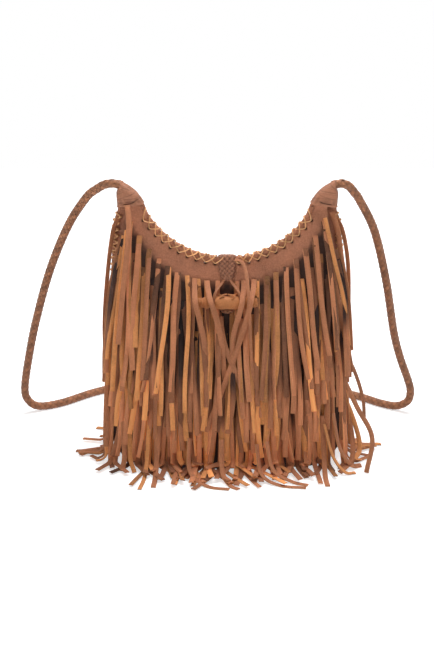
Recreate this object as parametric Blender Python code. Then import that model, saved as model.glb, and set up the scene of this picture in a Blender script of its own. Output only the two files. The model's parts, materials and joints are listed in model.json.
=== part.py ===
"""A fringed suede shoulder bag with a crescent mouth, a toggle closure and a braided cord strap.

Metres, +Z up. The origin is at the centre of the base, on the surface that the bag stands on.
The front faces -Y and +X is to the viewer's right. Every sub-part is one closed solid.
"""

import math

import bmesh
import bpy
import numpy as np

# Body outline, seen from the front
HALF_WIDTH = 0.127
CORNER_RADIUS = 0.040
EAR_HALF_WIDTH = 0.1155
EAR_TOP = 0.296
MOUTH_LOW = 0.231
MOUTH_RADIUS = 0.098

# Depth of the body, from its middle plane to the outside of a panel
SIDE_DEPTH = 0.036
BELLY = 0.014
MOUTH_DEPTH = 0.0068
DEPTH_POWER = 1.35

# Leather, cloth and clearances
LEATHER = 0.0015
LINING_THICKNESS = 0.0008
GAP = 0.0003
LINING_GAP = 0.0010
LINING_DROP = 0.020

# Folded side and bottom strip
GUSSET_TOP = 0.276
GUSSET_FOLD = 0.012
FOLD_START = 0.120

# Lace round the mouth
HOLE_RADIUS = 0.0013
HOLE_INSET = 0.0085
HOLE_PITCH = 0.0103
HOLES_PER_SIDE = 10
FIRST_HOLE = 0.0130
LACE_RADIUS = 0.0007
LACE_STAND = 0.0008

# Fringe
ROWS = 6
ROW_SPACING = 0.028
ROW_CENTRE = 0.2040
ROW_CLEARANCE = 0.0015
FIRST_ROW_REACH = 0.1095
LOWER_ROW_REACH = 0.1165
RISE_POWER = 2.8
STRIP_WIDTH = 0.0056
STRIP_PITCH = 0.0118
STRIP_LENGTH = 0.130
LAST_ROW_TRIM = 0.022
FLARE = 0.12
STRIP_THICKNESS = 0.0013
LAYER_SPACING = 0.0022
LAYER_LEAD = 0.25
FRINGE_STAND = 0.0008
BAND_HEIGHT = 0.004
BEND_RADIUS = 0.012
LIFT_SHARE = 0.65
STRAIGHT_STEPS = 3
BENT_STEPS = 7
TAB_CLEARANCE = 0.0040

# Strips that hang down the two sides: heights of their seams, and their spacing along Y
SIDE_SEAMS = (0.225, 0.100)
SIDE_PITCHES = (0.0100, 0.0180)
SIDE_COUNTS = (2, 3)

# Ear caps
CAP_BOTTOM = 0.2815
CAP_WALL = 0.0013
CAP_EASE = 0.0036
CAP_RIM_TILT = math.radians(16.0)
CAP_TIP_HEIGHT = 0.3080
CAP_TIP_OUT = 0.1155
CAP_TIP_TILT = math.radians(80.0)
# Rings above the shoulder: shares out and up towards the tip, shares of width and depth, tilt, squareness
CAP_SHAPE = (
    (0.03, 0.10, 0.96, 0.97, 6.0, 3.6),
    (0.26, 0.52, 0.74, 0.84, 24.0, 2.6),
    (0.60, 0.85, 0.52, 0.68, 44.0, 2.2),
)

# Braided tab, its two strands and the toggle
TAB_WIDTH = 0.0190
TAB_THICKNESS = 0.0026
TAB_RIDGE = 0.0008
TAB_PLAIT = 0.0062
TAB_FRONT_END = 0.2125
TAB_BACK_END = 0.2085
STRAND_RADIUS = 0.0012
TOGGLE_HEIGHT = 0.1850
TOGGLE_HALF_LENGTH = 0.0325
TOGGLE_CORE_RADIUS = 0.0030
BARREL_RADIUS = 0.0075
BARREL_HALF_LENGTH = 0.0135
WRAP_RADIUS = 0.0056
WRAP_COLLAR_RADIUS = 0.0075
LOOP_RADIUS = 0.0020
LOOP_HALF_WIDTH = 0.0062
THONG_WIDTH = 0.0034
THONG_THICKNESS = 0.0012
THONG_LOW = 0.0900

# Shoulder strap: its diameter, and hand-chosen points from the left cap round to the right one
STRAP_DIAMETER = 0.0090
STRAP_SPACING = 0.0165
STRAP_STUB = 0.0070
STRAP_ROUTE = [
    (-0.1310, 0.0045, 0.3070),
    (-0.1400, 0.0110, 0.3010),
    (-0.1532, 0.0195, 0.2886),
    (-0.1753, 0.0363, 0.2530),
    (-0.1995, 0.0596, 0.1959),
    (-0.2199, 0.0840, 0.1300),
    (-0.2330, 0.1020, 0.0760),
    (-0.2405, 0.1135, 0.0340),
    (-0.2375, 0.1185, 0.0165),
    (-0.2255, 0.1260, 0.0062),
    (-0.1994, 0.1420, 0.0046),
    (-0.1602, 0.1800, 0.0046),
    (-0.1150, 0.2070, 0.0046),
    (-0.0550, 0.2220, 0.0046),
    (0.0150, 0.2220, 0.0046),
    (0.0750, 0.2110, 0.0046),
    (0.1250, 0.1880, 0.0046),
    (0.1603, 0.1660, 0.0046),
    (0.1880, 0.1400, 0.0046),
    (0.2060, 0.1270, 0.0062),
    (0.2180, 0.1195, 0.0150),
    (0.2205, 0.1155, 0.0290),
    (0.2165, 0.1110, 0.0450),
    (0.2045, 0.1010, 0.0780),
    (0.1944, 0.0875, 0.1140),
    (0.1802, 0.0601, 0.1840),
    (0.1627, 0.0347, 0.2478),
    (0.1435, 0.0170, 0.2870),
    (0.1375, 0.0115, 0.2960),
    (0.1305, 0.0050, 0.3050),
]

# Grid sizes
PANEL_COLUMNS = 27
PANEL_ROWS = 9
RING_POINTS = 16
TURNED_POINTS = 12

# Finishes: colour in linear light, roughness, metallic
LEATHER_BROWN = ((0.34, 0.155, 0.078, 1.0), 0.75, 0.0)
LEATHER_LIGHT = ((0.52, 0.26, 0.10, 1.0), 0.85, 0.0)
LACE_TAN = ((0.70, 0.42, 0.20, 1.0), 0.60, 0.0)
CLOTH_BLACK = ((0.012, 0.010, 0.010, 1.0), 0.95, 0.0)

MOUTH_CENTRE = MOUTH_LOW + MOUTH_RADIUS
EAR_INNER = math.sqrt(MOUTH_RADIUS ** 2 - (MOUTH_CENTRE - EAR_TOP) ** 2)
ROW_RISE = CAP_BOTTOM - ROW_CLEARANCE - ROW_CENTRE


def clear_scene():
    """Remove whatever objects the file holds."""
    for item in list(bpy.data.objects):
        bpy.data.objects.remove(item, do_unlink=True)


def make_material(name, finish):
    """Give a Principled material of one colour, roughness and metallic value."""
    colour, roughness, metallic = finish
    material = bpy.data.materials.new(name)
    material.use_nodes = True
    shader = material.node_tree.nodes["Principled BSDF"]
    shader.inputs["Base Color"].default_value = colour
    shader.inputs["Roughness"].default_value = roughness
    shader.inputs["Metallic"].default_value = metallic
    return material


def add_solid(name, vertices, faces, finish):
    """Make one closed mesh object whose faces point outwards."""
    mesh = bpy.data.meshes.new(name)
    mesh.from_pydata([tuple(map(float, point)) for point in vertices], [], [list(face) for face in faces])
    work = bmesh.new()
    work.from_mesh(mesh)
    bmesh.ops.recalc_face_normals(work, faces=work.faces)
    work.to_mesh(mesh)
    work.free()
    mesh.shade_smooth()
    mesh.set_sharp_from_angle(angle=math.radians(40.0))
    mesh.materials.append(make_material(name + "_finish", finish))
    item = bpy.data.objects.new(name, mesh)
    bpy.context.scene.collection.objects.link(item)
    return item


def grid_cells(rows, columns):
    """List the four corners of each cell of a grid of points."""
    cells = []
    for row in range(rows - 1):
        for column in range(columns - 1):
            first = row * columns + column
            cells.append((first, first + 1, first + 1 + columns, first + columns))
    return cells


def slab(name, outer, inner, cells, finish):
    """Close the space between two matching sheets, with a wall along each open edge."""
    outer = np.asarray(outer, float).reshape(-1, 3)
    inner = np.asarray(inner, float).reshape(-1, 3)
    used = sorted({corner for cell in cells for corner in cell})
    place = {corner: index for index, corner in enumerate(used)}
    count = len(used)
    faces = []
    edges = set()
    for cell in cells:
        near = [place[corner] for corner in cell]
        faces.append(near)
        faces.append([corner + count for corner in reversed(near)])
        edges.update(zip(near, near[1:] + near[:1]))
    for start, end in edges:
        if (end, start) not in edges:
            faces.append([end, start, start + count, end + count])
    return add_solid(name, np.vstack([outer[used], inner[used]]), faces, finish)


def ring_solid(name, rings, finish):
    """Join closed rings of points one after another and cap the first and the last."""
    count = len(rings[0])
    faces = [list(range(count)), [(len(rings) - 1) * count + k for k in range(count)]]
    for level in range(len(rings) - 1):
        for k in range(count):
            low = level * count + k
            low_next = level * count + (k + 1) % count
            faces.append([low, low_next, low_next + count, low + count])
    return add_solid(name, np.vstack(rings), faces, finish)


def half_width(z, inset=0.0):
    """Half the width of the body at height z: straight by the corners, drawn in towards the ears."""
    rise = np.clip((z - CORNER_RADIUS) / (EAR_TOP - CORNER_RADIUS), 0.0, 1.0)
    return HALF_WIDTH - (HALF_WIDTH - EAR_HALF_WIDTH) * rise ** 2 - inset


def mouth_height(x):
    """Height of the top edge: an arc between the ears, level across each ear."""
    reach = np.minimum(np.abs(x), EAR_INNER)
    return MOUTH_CENTRE - np.sqrt(MOUTH_RADIUS ** 2 - reach ** 2)


def base_depth(x):
    """Half the depth of the body at its base, fuller in the middle."""
    across = np.clip(np.abs(x) / HALF_WIDTH, 0.0, 1.0)
    return SIDE_DEPTH + BELLY * (1.0 - across ** 2)


def depth(x, z):
    """Half the depth of the body, falling from the base to the mouth."""
    share = np.clip(np.asarray(z) / np.minimum(mouth_height(x), CAP_BOTTOM), 0.0, 1.0)
    return MOUTH_DEPTH + (base_depth(x) - MOUTH_DEPTH) * (1.0 - share ** DEPTH_POWER)


def bottom_height(across, inset=0.0):
    """Height of the lower edge at a share of the half width, with its round corners."""
    width = HALF_WIDTH - inset
    radius = CORNER_RADIUS - inset
    over = np.clip(np.abs(across) * width - (width - radius), 0.0, radius)
    return inset + radius - np.sqrt(radius ** 2 - over ** 2)


def panel_point(across, up, inset=0.0, drop=0.0):
    """Place a point by its share of the width and of the height between the two edges."""
    low = bottom_height(across, inset)
    z = low + up * (EAR_TOP - low)
    for _ in range(20):
        x = across * half_width(z, inset)
        z = low + up * (mouth_height(x) - drop - low)
    return x, z


def panel_grid(inset=0.0, drop=0.0):
    """Shares of width and height over a panel, closer together by the sides."""
    even = np.linspace(-1.0, 1.0, PANEL_COLUMNS)
    across = 0.5 * (even + np.sin(0.5 * math.pi * even))
    ear = EAR_INNER / EAR_HALF_WIDTH
    across = np.sort(np.append(across, [-ear, ear]))
    shoulder = (CAP_BOTTOM - CORNER_RADIUS) / (EAR_TOP - CORNER_RADIUS)
    up = np.append(np.linspace(0.0, shoulder, PANEL_ROWS - 1), 1.0)
    columns, rows = np.meshgrid(across, up)
    return panel_point(columns, rows, inset, drop)


def hole_places():
    """Centres of the lace holes, as x and z along an arc below the mouth edge."""
    radius = MOUTH_RADIUS + HOLE_INSET
    angles = (FIRST_HOLE + HOLE_PITCH * np.arange(HOLES_PER_SIDE)) / radius
    angles = np.concatenate([-angles[::-1], angles])
    return angles, radius * np.sin(angles), MOUTH_CENTRE - radius * np.cos(angles)


def add_cutter(name, centres, radius, low, high):
    """Make one wire object that holds a short six-sided peg along Y at each hole."""
    work = bmesh.new()
    for x, z in centres:
        turn = np.arange(6) * math.pi / 3.0
        near = [work.verts.new((x + radius * math.cos(a), low, z + radius * math.sin(a))) for a in turn]
        far = [work.verts.new((x + radius * math.cos(a), high, z + radius * math.sin(a))) for a in turn]
        work.faces.new(near)
        work.faces.new(far)
        for k in range(6):
            work.faces.new([near[k], near[(k + 1) % 6], far[(k + 1) % 6], far[k]])
    bmesh.ops.recalc_face_normals(work, faces=work.faces)
    mesh = bpy.data.meshes.new(name)
    work.to_mesh(mesh)
    work.free()
    item = bpy.data.objects.new(name, mesh)
    item.hide_render = True
    item.display_type = "WIRE"
    bpy.context.scene.collection.objects.link(item)
    return item


def add_panel(name, side):
    """Make a front (side -1) or back (side +1) panel with its row of lace holes."""
    x, z = panel_grid()
    outer = np.stack([x, side * depth(x, z), z], axis=-1)
    inner = np.stack([x, side * (depth(x, z) - LEATHER), z], axis=-1)
    panel = slab(name, outer, inner, grid_cells(*x.shape), LEATHER_BROWN)
    _, hole_x, hole_z = hole_places()
    low, high = sorted((0.0, side * SIDE_DEPTH))
    cutter = add_cutter(name + "_hole_guide", zip(hole_x, hole_z), HOLE_RADIUS, low, high)
    cut = panel.modifiers.new("lace_holes", "BOOLEAN")
    cut.operation = "DIFFERENCE"
    cut.object = cutter
    return panel


def gusset_outline():
    """Walk the body's edge from the left side, along the base, to the right side."""
    side_z = np.linspace(GUSSET_TOP, CORNER_RADIUS, 8)
    turn = np.linspace(0.0, math.pi / 2.0, 6)[1:]
    corner_x = HALF_WIDTH - CORNER_RADIUS + CORNER_RADIUS * np.cos(turn)
    corner_z = CORNER_RADIUS - CORNER_RADIUS * np.sin(turn)
    base_x = np.linspace(HALF_WIDTH - CORNER_RADIUS, 0.0, 5)[1:]
    x = np.concatenate([half_width(side_z), corner_x, base_x])
    z = np.concatenate([side_z, corner_z, np.zeros(len(base_x))])
    x = np.concatenate([-x, x[-2::-1]])
    z = np.concatenate([z, z[-2::-1]])
    return x, z


def add_gusset():
    """Make the strip that joins the panels, folded inwards where the bag narrows."""
    line_x, line_z = gusset_outline()
    along_x = np.gradient(line_x)
    along_z = np.gradient(line_z)
    length = np.hypot(along_x, along_z)
    inward = np.stack([-along_z / length, along_x / length], axis=-1)
    rise = np.clip((line_z - FOLD_START) / (GUSSET_TOP - FOLD_START), 0.0, 1.0)
    fold = GUSSET_FOLD * rise * rise * (3.0 - 2.0 * rise)
    across = np.linspace(-1.0, 1.0, 7)
    sheets = []
    for offset in (0.0, LEATHER):
        move = fold[:, None] * (1.0 - across[None, :] ** 2) + offset
        x = line_x[:, None] + inward[:, None, 0] * move
        z = line_z[:, None] + inward[:, None, 1] * move
        edge = depth(x, z) - LEATHER - GAP
        sheets.append(np.stack([x, across[None, :] * edge, z], axis=-1))
    return slab("gusset", sheets[0], sheets[1], grid_cells(len(line_x), len(across)), LEATHER_BROWN)


def lining_sheet(inset, cloth):
    """Points of the lining pouch: rings that follow the panels, drawn in at the sides."""
    turn = np.linspace(0.0, 2.0 * math.pi, RING_POINTS * 3 // 2 + 1)[:-1]
    across = np.sign(np.cos(turn)) * np.abs(np.cos(turn)) ** 0.6
    towards = np.sign(np.sin(turn)) * np.abs(np.sin(turn)) ** 0.6
    up = np.linspace(0.0, 1.0, PANEL_ROWS)
    columns, rows = np.meshgrid(across, up)
    x, z = panel_point(columns, rows, inset, LINING_DROP)
    y = towards[None, :] * (depth(x, z) - LEATHER - LINING_GAP - cloth)
    return np.stack([x, y, z], axis=-1)


def add_lining():
    """Make the open cloth pouch inside the body."""
    side_room = GUSSET_FOLD + LEATHER + LINING_GAP
    outer = lining_sheet(side_room, 0.0)
    inner = lining_sheet(side_room + LINING_THICKNESS, LINING_THICKNESS)
    rows, count = outer.shape[:2]
    cells = []
    for row in range(rows - 1):
        for k in range(count):
            low = row * count + k
            low_next = row * count + (k + 1) % count
            cells.append((low, low_next, low_next + count, low + count))
    half = count // 2
    for k in range(1, half - 1):
        cells.append((k, count - k, count - k - 1, k + 1))
    cells.append((0, count - 1, 1))
    cells.append((half, half - 1, half + 1))
    return slab("lining", outer, inner, cells, CLOTH_BLACK)


def row_height(x, row):
    """Height of a fringe row's seam, which follows the mouth."""
    rise = ROW_RISE * (np.abs(x) / FIRST_ROW_REACH) ** RISE_POWER
    return ROW_CENTRE + rise - ROW_SPACING * row


def fall_point(x, z_seam, run, stand):
    """Follow a strip down the panel, round a bend and along the floor.

    run is the length from the seam. stand is the distance out from the panel.
    """
    drop = z_seam - BEND_RADIUS
    quarter = BEND_RADIUS * math.pi / 2.0
    foot = -depth(x, BEND_RADIUS)
    if run <= drop:
        z = z_seam - run
        return -depth(x, z) - stand, z
    if run <= drop + quarter:
        angle = (run - drop) / BEND_RADIUS
        reach = BEND_RADIUS - stand
        return foot - BEND_RADIUS + reach * math.cos(angle), BEND_RADIUS - reach * math.sin(angle)
    return foot - BEND_RADIUS - (run - drop - quarter), stand


def strip_stand(row, x, z):
    """Distance of a strip from the panel, one layer for each lower row beneath it."""
    below = row_height(x, row) - z
    layers = min(2.0 * (below - BAND_HEIGHT) / ROW_SPACING, below / ROW_SPACING + LAYER_LEAD)
    return FRINGE_STAND + LAYER_SPACING * min(max(layers, 0.0), ROWS - 1 - row)


def strip_length(row, x):
    """Length of a strip. The last row's are shorter in the middle, where its seam is low."""
    trim = LAST_ROW_TRIM * (1.0 - (x / LOWER_ROW_REACH) ** 2)
    return STRIP_LENGTH - (trim if row == ROWS - 1 else 0.0)


def reaches_floor(row):
    """Whether a row's middle strips are long enough to bend at the floor."""
    return strip_length(row, 0.0) > float(row_height(0.0, row)) - BEND_RADIUS


def bent_runs(length, z_seam):
    """Lengths from the seam at which a strip's points lie, closer together round its bend."""
    lift = LIFT_SHARE * ROW_SPACING
    drop = z_seam - BEND_RADIUS
    bend_end = drop + BEND_RADIUS * math.pi / 2.0
    if length <= drop:
        return np.linspace(lift, length, BENT_STEPS)
    straight = np.linspace(lift, drop, BENT_STEPS - 4)
    if length <= bend_end:
        return np.concatenate([straight, np.linspace(drop, length, 5)[1:]])
    return np.concatenate([straight, np.linspace(drop, bend_end, 4)[1:], [length]])


def strip_runs(row, x, z_seam):
    """Lengths from the seam of the points of a strip at x in a row."""
    if reaches_floor(row):
        return bent_runs(strip_length(row, x), z_seam)
    return np.linspace(LIFT_SHARE * ROW_SPACING, STRIP_LENGTH, STRAIGHT_STEPS)


def spread(z):
    """Factor by which the strips stand further apart at height z, more towards the floor."""
    return 1.0 + FLARE * (1.0 - z / CAP_BOTTOM)


def strip_centres(row):
    """Places of a row's strips along X before they spread, half a pitch aside on every second row."""
    reach = (FIRST_ROW_REACH if row == 0 else LOWER_ROW_REACH) - STRIP_WIDTH / 2.0
    aside = 0.5 * (row % 2)
    each_side = int(reach / STRIP_PITCH + aside)
    count = 2 * each_side + 1 - row % 2
    return (np.arange(count) - (count - 1) / 2.0) * STRIP_PITCH


def add_fringe_row(name, side, row):
    """Make a band with its hanging strips, cut from one piece."""
    centres = strip_centres(row)
    beside_tab = TAB_WIDTH / 2.0 + TAB_CLEARANCE - STRIP_WIDTH
    outer = []
    inner = []
    steps = BENT_STEPS if reaches_floor(row) else STRAIGHT_STEPS
    for level in range(steps + 2):
        for centre in centres:
            middle = centre * spread(float(row_height(centre, row)))
            seam = float(row_height(middle, row))
            run = level * BAND_HEIGHT
            if level > 1:
                run = float(strip_runs(row, centre, seam)[level - 2])
                middle = centre * spread(max(seam - run, 0.0))
            for edge in (-0.5, 0.5):
                x = middle + edge * STRIP_WIDTH
                top = float(row_height(x, row)) if level < 2 else seam
                stand = strip_stand(row, middle, top - run)
                for store, extra in ((inner, 0.0), (outer, STRIP_THICKNESS)):
                    y, z = fall_point(x, top, run, stand + extra)
                    store.append((x, -side * y, z))
    columns = 2 * len(centres)
    cells = grid_cells(2, columns)
    for strip, centre in enumerate(centres):
        if row > 0 or abs(centre) > beside_tab:
            for level in range(1, steps + 1):
                first = level * columns + 2 * strip
                cells.append((first, first + 1, first + 1 + columns, first + columns))
    return slab(name, outer, inner, cells, LEATHER_LIGHT if row % 2 else LEATHER_BROWN)


def add_side_row(name, side, row):
    """Make a band across a side of the bag with the strips that hang from it to the floor."""
    seam = SIDE_SEAMS[row]
    count = SIDE_COUNTS[row]
    pitch = SIDE_PITCHES[row]
    layer = LAYER_SPACING * (len(SIDE_SEAMS) - 1 - row)
    centres = (np.arange(count) - (count - 1) / 2.0) * pitch
    runs = np.concatenate([[0.0, BAND_HEIGHT], bent_runs(STRIP_LENGTH, seam)])
    reach = float(depth(half_width(seam), seam))
    outer = []
    inner = []
    for level, run in enumerate(runs):
        below = np.clip((run - BAND_HEIGHT) / ROW_SPACING, 0.0, 1.0)
        for place in range(2 * count):
            y = centres[place // 2] + (place % 2 - 0.5) * STRIP_WIDTH
            if level < 2 and place in (0, 2 * count - 1):
                y = math.copysign(reach, y)
            for store, extra in ((inner, 0.0), (outer, STRIP_THICKNESS)):
                x, z = side_fall_point(seam, run, FRINGE_STAND + layer * below + extra)
                store.append((side * x, y, z))
    columns = 2 * count
    cells = grid_cells(2, columns)
    for strip in range(count):
        for level in range(1, len(runs) - 1):
            first = level * columns + 2 * strip
            cells.append((first, first + 1, first + 1 + columns, first + columns))
    return slab(name, outer, inner, cells, LEATHER_LIGHT)


def side_fall_point(z_seam, run, stand):
    """Follow a side strip down the bag's widest line, round a bend and out along the floor."""
    drop = z_seam - BEND_RADIUS
    foot = float(half_width(BEND_RADIUS))
    if run <= drop:
        z = z_seam - run
        return float(half_width(z)) + stand, z
    quarter = BEND_RADIUS * math.pi / 2.0
    reach = BEND_RADIUS - stand
    if run <= drop + quarter:
        angle = (run - drop) / BEND_RADIUS
        return foot + BEND_RADIUS - reach * math.cos(angle), BEND_RADIUS - reach * math.sin(angle)
    return foot + BEND_RADIUS + run - drop - quarter, stand


def superellipse(count, power):
    """Unit ring of points between a circle (power 2) and a square."""
    turn = np.arange(count) * 2.0 * math.pi / count
    across = np.sign(np.cos(turn)) * np.abs(np.cos(turn)) ** (2.0 / power)
    along = np.sign(np.sin(turn)) * np.abs(np.sin(turn)) ** (2.0 / power)
    return across, along


def cap_ring(side, centre_x, centre_z, reach, thick, tilt, power):
    """One ring of a cap, square to a line that leans outwards by tilt."""
    across, along = superellipse(RING_POINTS, power)
    x = centre_x + reach * across * math.cos(tilt)
    z = centre_z - reach * across * math.sin(tilt)
    return np.stack([side * x, thick * along, z], axis=-1)


def add_ear_cap(name, side):
    """Make a leather cap: a socket over the ear that narrows and leans out to the strap."""
    middle = 0.5 * (EAR_INNER + EAR_HALF_WIDTH)
    hollow_reach = 0.5 * (EAR_HALF_WIDTH - EAR_INNER) + CAP_EASE
    hollow_thick = MOUTH_DEPTH + CAP_EASE
    reach = hollow_reach + CAP_WALL
    thick = hollow_thick + CAP_WALL
    rim = CAP_BOTTOM + reach * math.sin(CAP_RIM_TILT)
    top = EAR_TOP + GAP
    shoulder = top + CAP_WALL
    tip_radius = STRAP_DIAMETER / 2.0 + CAP_WALL / 2.0
    lean = CAP_TIP_OUT - middle
    lift = CAP_TIP_HEIGHT - shoulder
    hollow = [
        cap_ring(side, middle, top, hollow_reach, hollow_thick, 0.0, 5.0),
        cap_ring(side, middle, rim, hollow_reach, hollow_thick, CAP_RIM_TILT, 5.0),
    ]
    body = [
        cap_ring(side, middle, rim, reach, thick, CAP_RIM_TILT, 5.0),
        cap_ring(side, middle, 0.4 * rim + 0.6 * shoulder, reach, thick, 0.5 * CAP_RIM_TILT, 4.5),
    ]
    for out, up, wide, deep, tilt, power in CAP_SHAPE:
        centre_x = middle + out * lean
        centre_z = shoulder + up * lift
        body.append(cap_ring(side, centre_x, centre_z, wide * reach, deep * thick, math.radians(tilt), power))
    body.append(cap_ring(side, CAP_TIP_OUT, CAP_TIP_HEIGHT, tip_radius, tip_radius, CAP_TIP_TILT, 2.0))
    return ring_solid(name, hollow + body, LEATHER_BROWN)


def add_tube(name, points, radius, resolution, finish):
    """Make a cord: a curve with a round bevel and filled caps, through the given points."""
    curve = bpy.data.curves.new(name, "CURVE")
    curve.dimensions = "3D"
    curve.bevel_depth = radius
    curve.bevel_resolution = resolution
    curve.use_fill_caps = True
    curve.materials.append(make_material(name + "_finish", finish))
    spline = curve.splines.new("POLY")
    spline.points.add(len(points) - 1)
    for target, point in zip(spline.points, points):
        target.co = (float(point[0]), float(point[1]), float(point[2]), 1.0)
    item = bpy.data.objects.new(name, curve)
    bpy.context.scene.collection.objects.link(item)
    return item


def smooth_line(points, spacing):
    """Read points at an even spacing from a smooth curve through the given ones."""
    points = np.asarray(points, float)
    padded = np.vstack([2 * points[0] - points[1], points, 2 * points[-1] - points[-2]])
    share = np.linspace(0.0, 1.0, 24, endpoint=False)[:, None]
    pieces = []
    for a, b, c, d in zip(padded, padded[1:], padded[2:], padded[3:]):
        pieces.append(0.5 * (2 * b + (c - a) * share + (2 * a - 5 * b + 4 * c - d) * share ** 2
                             + (3 * b - a - 3 * c + d) * share ** 3))
    fine = np.vstack(pieces + [points[-1:]])
    run = np.concatenate([[0.0], np.cumsum(np.linalg.norm(np.diff(fine, axis=0), axis=1))])
    count = max(3, int(round(run[-1] / spacing)) + 1)
    even = np.linspace(0.0, run[-1], count)
    return np.stack([np.interp(even, run, fine[:, axis]) for axis in range(3)], axis=-1)


def add_mouth_lace(name, side):
    """Make the lace that winds over a panel's top edge and through its holes."""
    angles, hole_x, hole_z = hole_places()
    half = 0.5 * HOLE_PITCH / (MOUTH_RADIUS + HOLE_INSET)
    stand = LACE_RADIUS + LACE_STAND
    points = []

    def add_point(x, z, out):
        points.append((x, side * (depth(x, min(z, float(mouth_height(x)))) + out), z))

    for index, angle in enumerate(angles):
        x, z = float(hole_x[index]), float(hole_z[index])
        add_point(x, z, -LEATHER - stand)
        if index == HOLES_PER_SIDE - 1:
            continue
        add_point(x, z, stand)
        if index == len(angles) - 1:
            break
        for radius, out in ((MOUTH_RADIUS, stand), (MOUTH_RADIUS - stand, -LEATHER / 2.0),
                            (MOUTH_RADIUS, -LEATHER - stand)):
            add_point(radius * math.sin(angle + half), MOUTH_CENTRE - radius * math.cos(angle + half), out)
    return add_tube(name, points, LACE_RADIUS, 0, LACE_TAN)


def tab_line():
    """The tab's inner face from the back, over both mouth edges, to the front, as y and z."""
    shoulder = MOUTH_LOW - 0.005
    back_z = np.linspace(TAB_BACK_END, shoulder, 8)
    front_z = np.linspace(shoulder, TAB_FRONT_END, 6)
    reach = float(depth(0.0, shoulder)) + GAP
    turn = np.linspace(0.0, math.pi, 9)[1:-1]
    crown = MOUTH_LOW + 0.0022 - shoulder
    line = [(float(depth(0.0, z)) + GAP, z) for z in back_z]
    line += [(reach * np.sign(math.cos(a)) * abs(math.cos(a)) ** 0.45, shoulder + crown * math.sin(a) ** 0.45)
             for a in turn]
    line += [(-float(depth(0.0, z)) - GAP, z) for z in front_z]
    return np.array(line)


def add_tab():
    """Make the plaited tab, with ridges that meet in chevrons on its outer face."""
    line = tab_line()
    step = np.gradient(line, axis=0)
    step /= np.linalg.norm(step, axis=1)[:, None]
    outward = np.stack([step[:, 1], -step[:, 0]], axis=-1)
    run = np.concatenate([[0.0], np.cumsum(np.linalg.norm(np.diff(line, axis=0), axis=1))])
    across = np.linspace(-1.0, 1.0, 7)
    ridge = np.abs(np.sin(math.pi * (run[:, None] / TAB_PLAIT + 0.5 * np.abs(across)[None, :])))
    height = TAB_THICKNESS - TAB_RIDGE + TAB_RIDGE * ridge
    x = np.broadcast_to(across[None, :] * TAB_WIDTH / 2.0, height.shape)
    y, z = (np.broadcast_to(line[:, axis : axis + 1], x.shape) for axis in range(2))
    inner = np.stack([x, y, z], axis=-1)
    outer = inner.copy()
    outer[..., 1] += outward[:, :1] * height
    outer[..., 2] += outward[:, 1:] * height
    return slab("braided_tab", outer, inner, grid_cells(len(line), len(across)), LEATHER_BROWN)


def toggle_axis():
    """Distance of the toggle's axis in front of the middle plane."""
    face = float(depth(TOGGLE_HALF_LENGTH, TOGGLE_HEIGHT)) + FRINGE_STAND + LAYER_SPACING + STRIP_THICKNESS
    return face + GAP + max(BARREL_RADIUS, WRAP_COLLAR_RADIUS)


def turned_rings(profile):
    """Turn a profile of (x, radius) points round the toggle's axis. It may be a closed loop."""
    turn = np.arange(TURNED_POINTS) * 2.0 * math.pi / TURNED_POINTS
    rings = []
    for x, radius in profile:
        y = -toggle_axis() + radius * np.cos(turn)
        z = TOGGLE_HEIGHT + radius * np.sin(turn)
        rings.append(np.stack([np.full(TURNED_POINTS, x), y, z], axis=-1))
    return rings


def add_sleeve(name, outside, bore, finish):
    """Make a sleeve on the toggle's core: an outer profile and a plain bore."""
    rings = turned_rings(outside + [(outside[-1][0], bore), (outside[0][0], bore)])
    count = len(rings[0])
    faces = []
    for level in range(len(rings)):
        after = (level + 1) % len(rings)
        for k in range(count):
            low = level * count + k
            high = after * count + k
            low_next = level * count + (k + 1) % count
            high_next = after * count + (k + 1) % count
            faces.append([low, low_next, high_next, high])
    return add_solid(name, np.vstack(rings), faces, finish)


def strand_place():
    """Distance of a strand from the middle, between the barrel and the end wrap."""
    return BARREL_HALF_LENGTH + GAP + STRAND_RADIUS


def add_toggle():
    """Make the core, the barrel on it, the two whipped ends and the two strands above."""
    bore = TOGGLE_CORE_RADIUS + GAP
    core = [(-TOGGLE_HALF_LENGTH, TOGGLE_CORE_RADIUS), (TOGGLE_HALF_LENGTH, TOGGLE_CORE_RADIUS)]
    ring_solid("toggle_core", turned_rings(core), LEATHER_BROWN)
    ends = BARREL_HALF_LENGTH
    barrel = [(-ends, 0.80 * BARREL_RADIUS), (-0.80 * ends, BARREL_RADIUS), (0.0, 0.96 * BARREL_RADIUS),
              (0.80 * ends, BARREL_RADIUS), (ends, 0.80 * BARREL_RADIUS)]
    add_sleeve("toggle_barrel", barrel, bore, LEATHER_LIGHT)
    start = strand_place() + STRAND_RADIUS + GAP
    end = TOGGLE_HALF_LENGTH - GAP
    for word, side in (("left", -1), ("right", 1)):
        shape = [(start, WRAP_RADIUS), (start + 0.18 * (end - start), WRAP_RADIUS),
                 (start + 0.28 * (end - start), WRAP_COLLAR_RADIUS),
                 (start + 0.45 * (end - start), WRAP_COLLAR_RADIUS),
                 (start + 0.55 * (end - start), WRAP_RADIUS), (end, 0.85 * WRAP_RADIUS)]
        add_sleeve("toggle_wrap_" + word, [(side * x, radius) for x, radius in shape], bore, LEATHER_LIGHT)
        add_strand("tab_strand_" + word, side)


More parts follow.
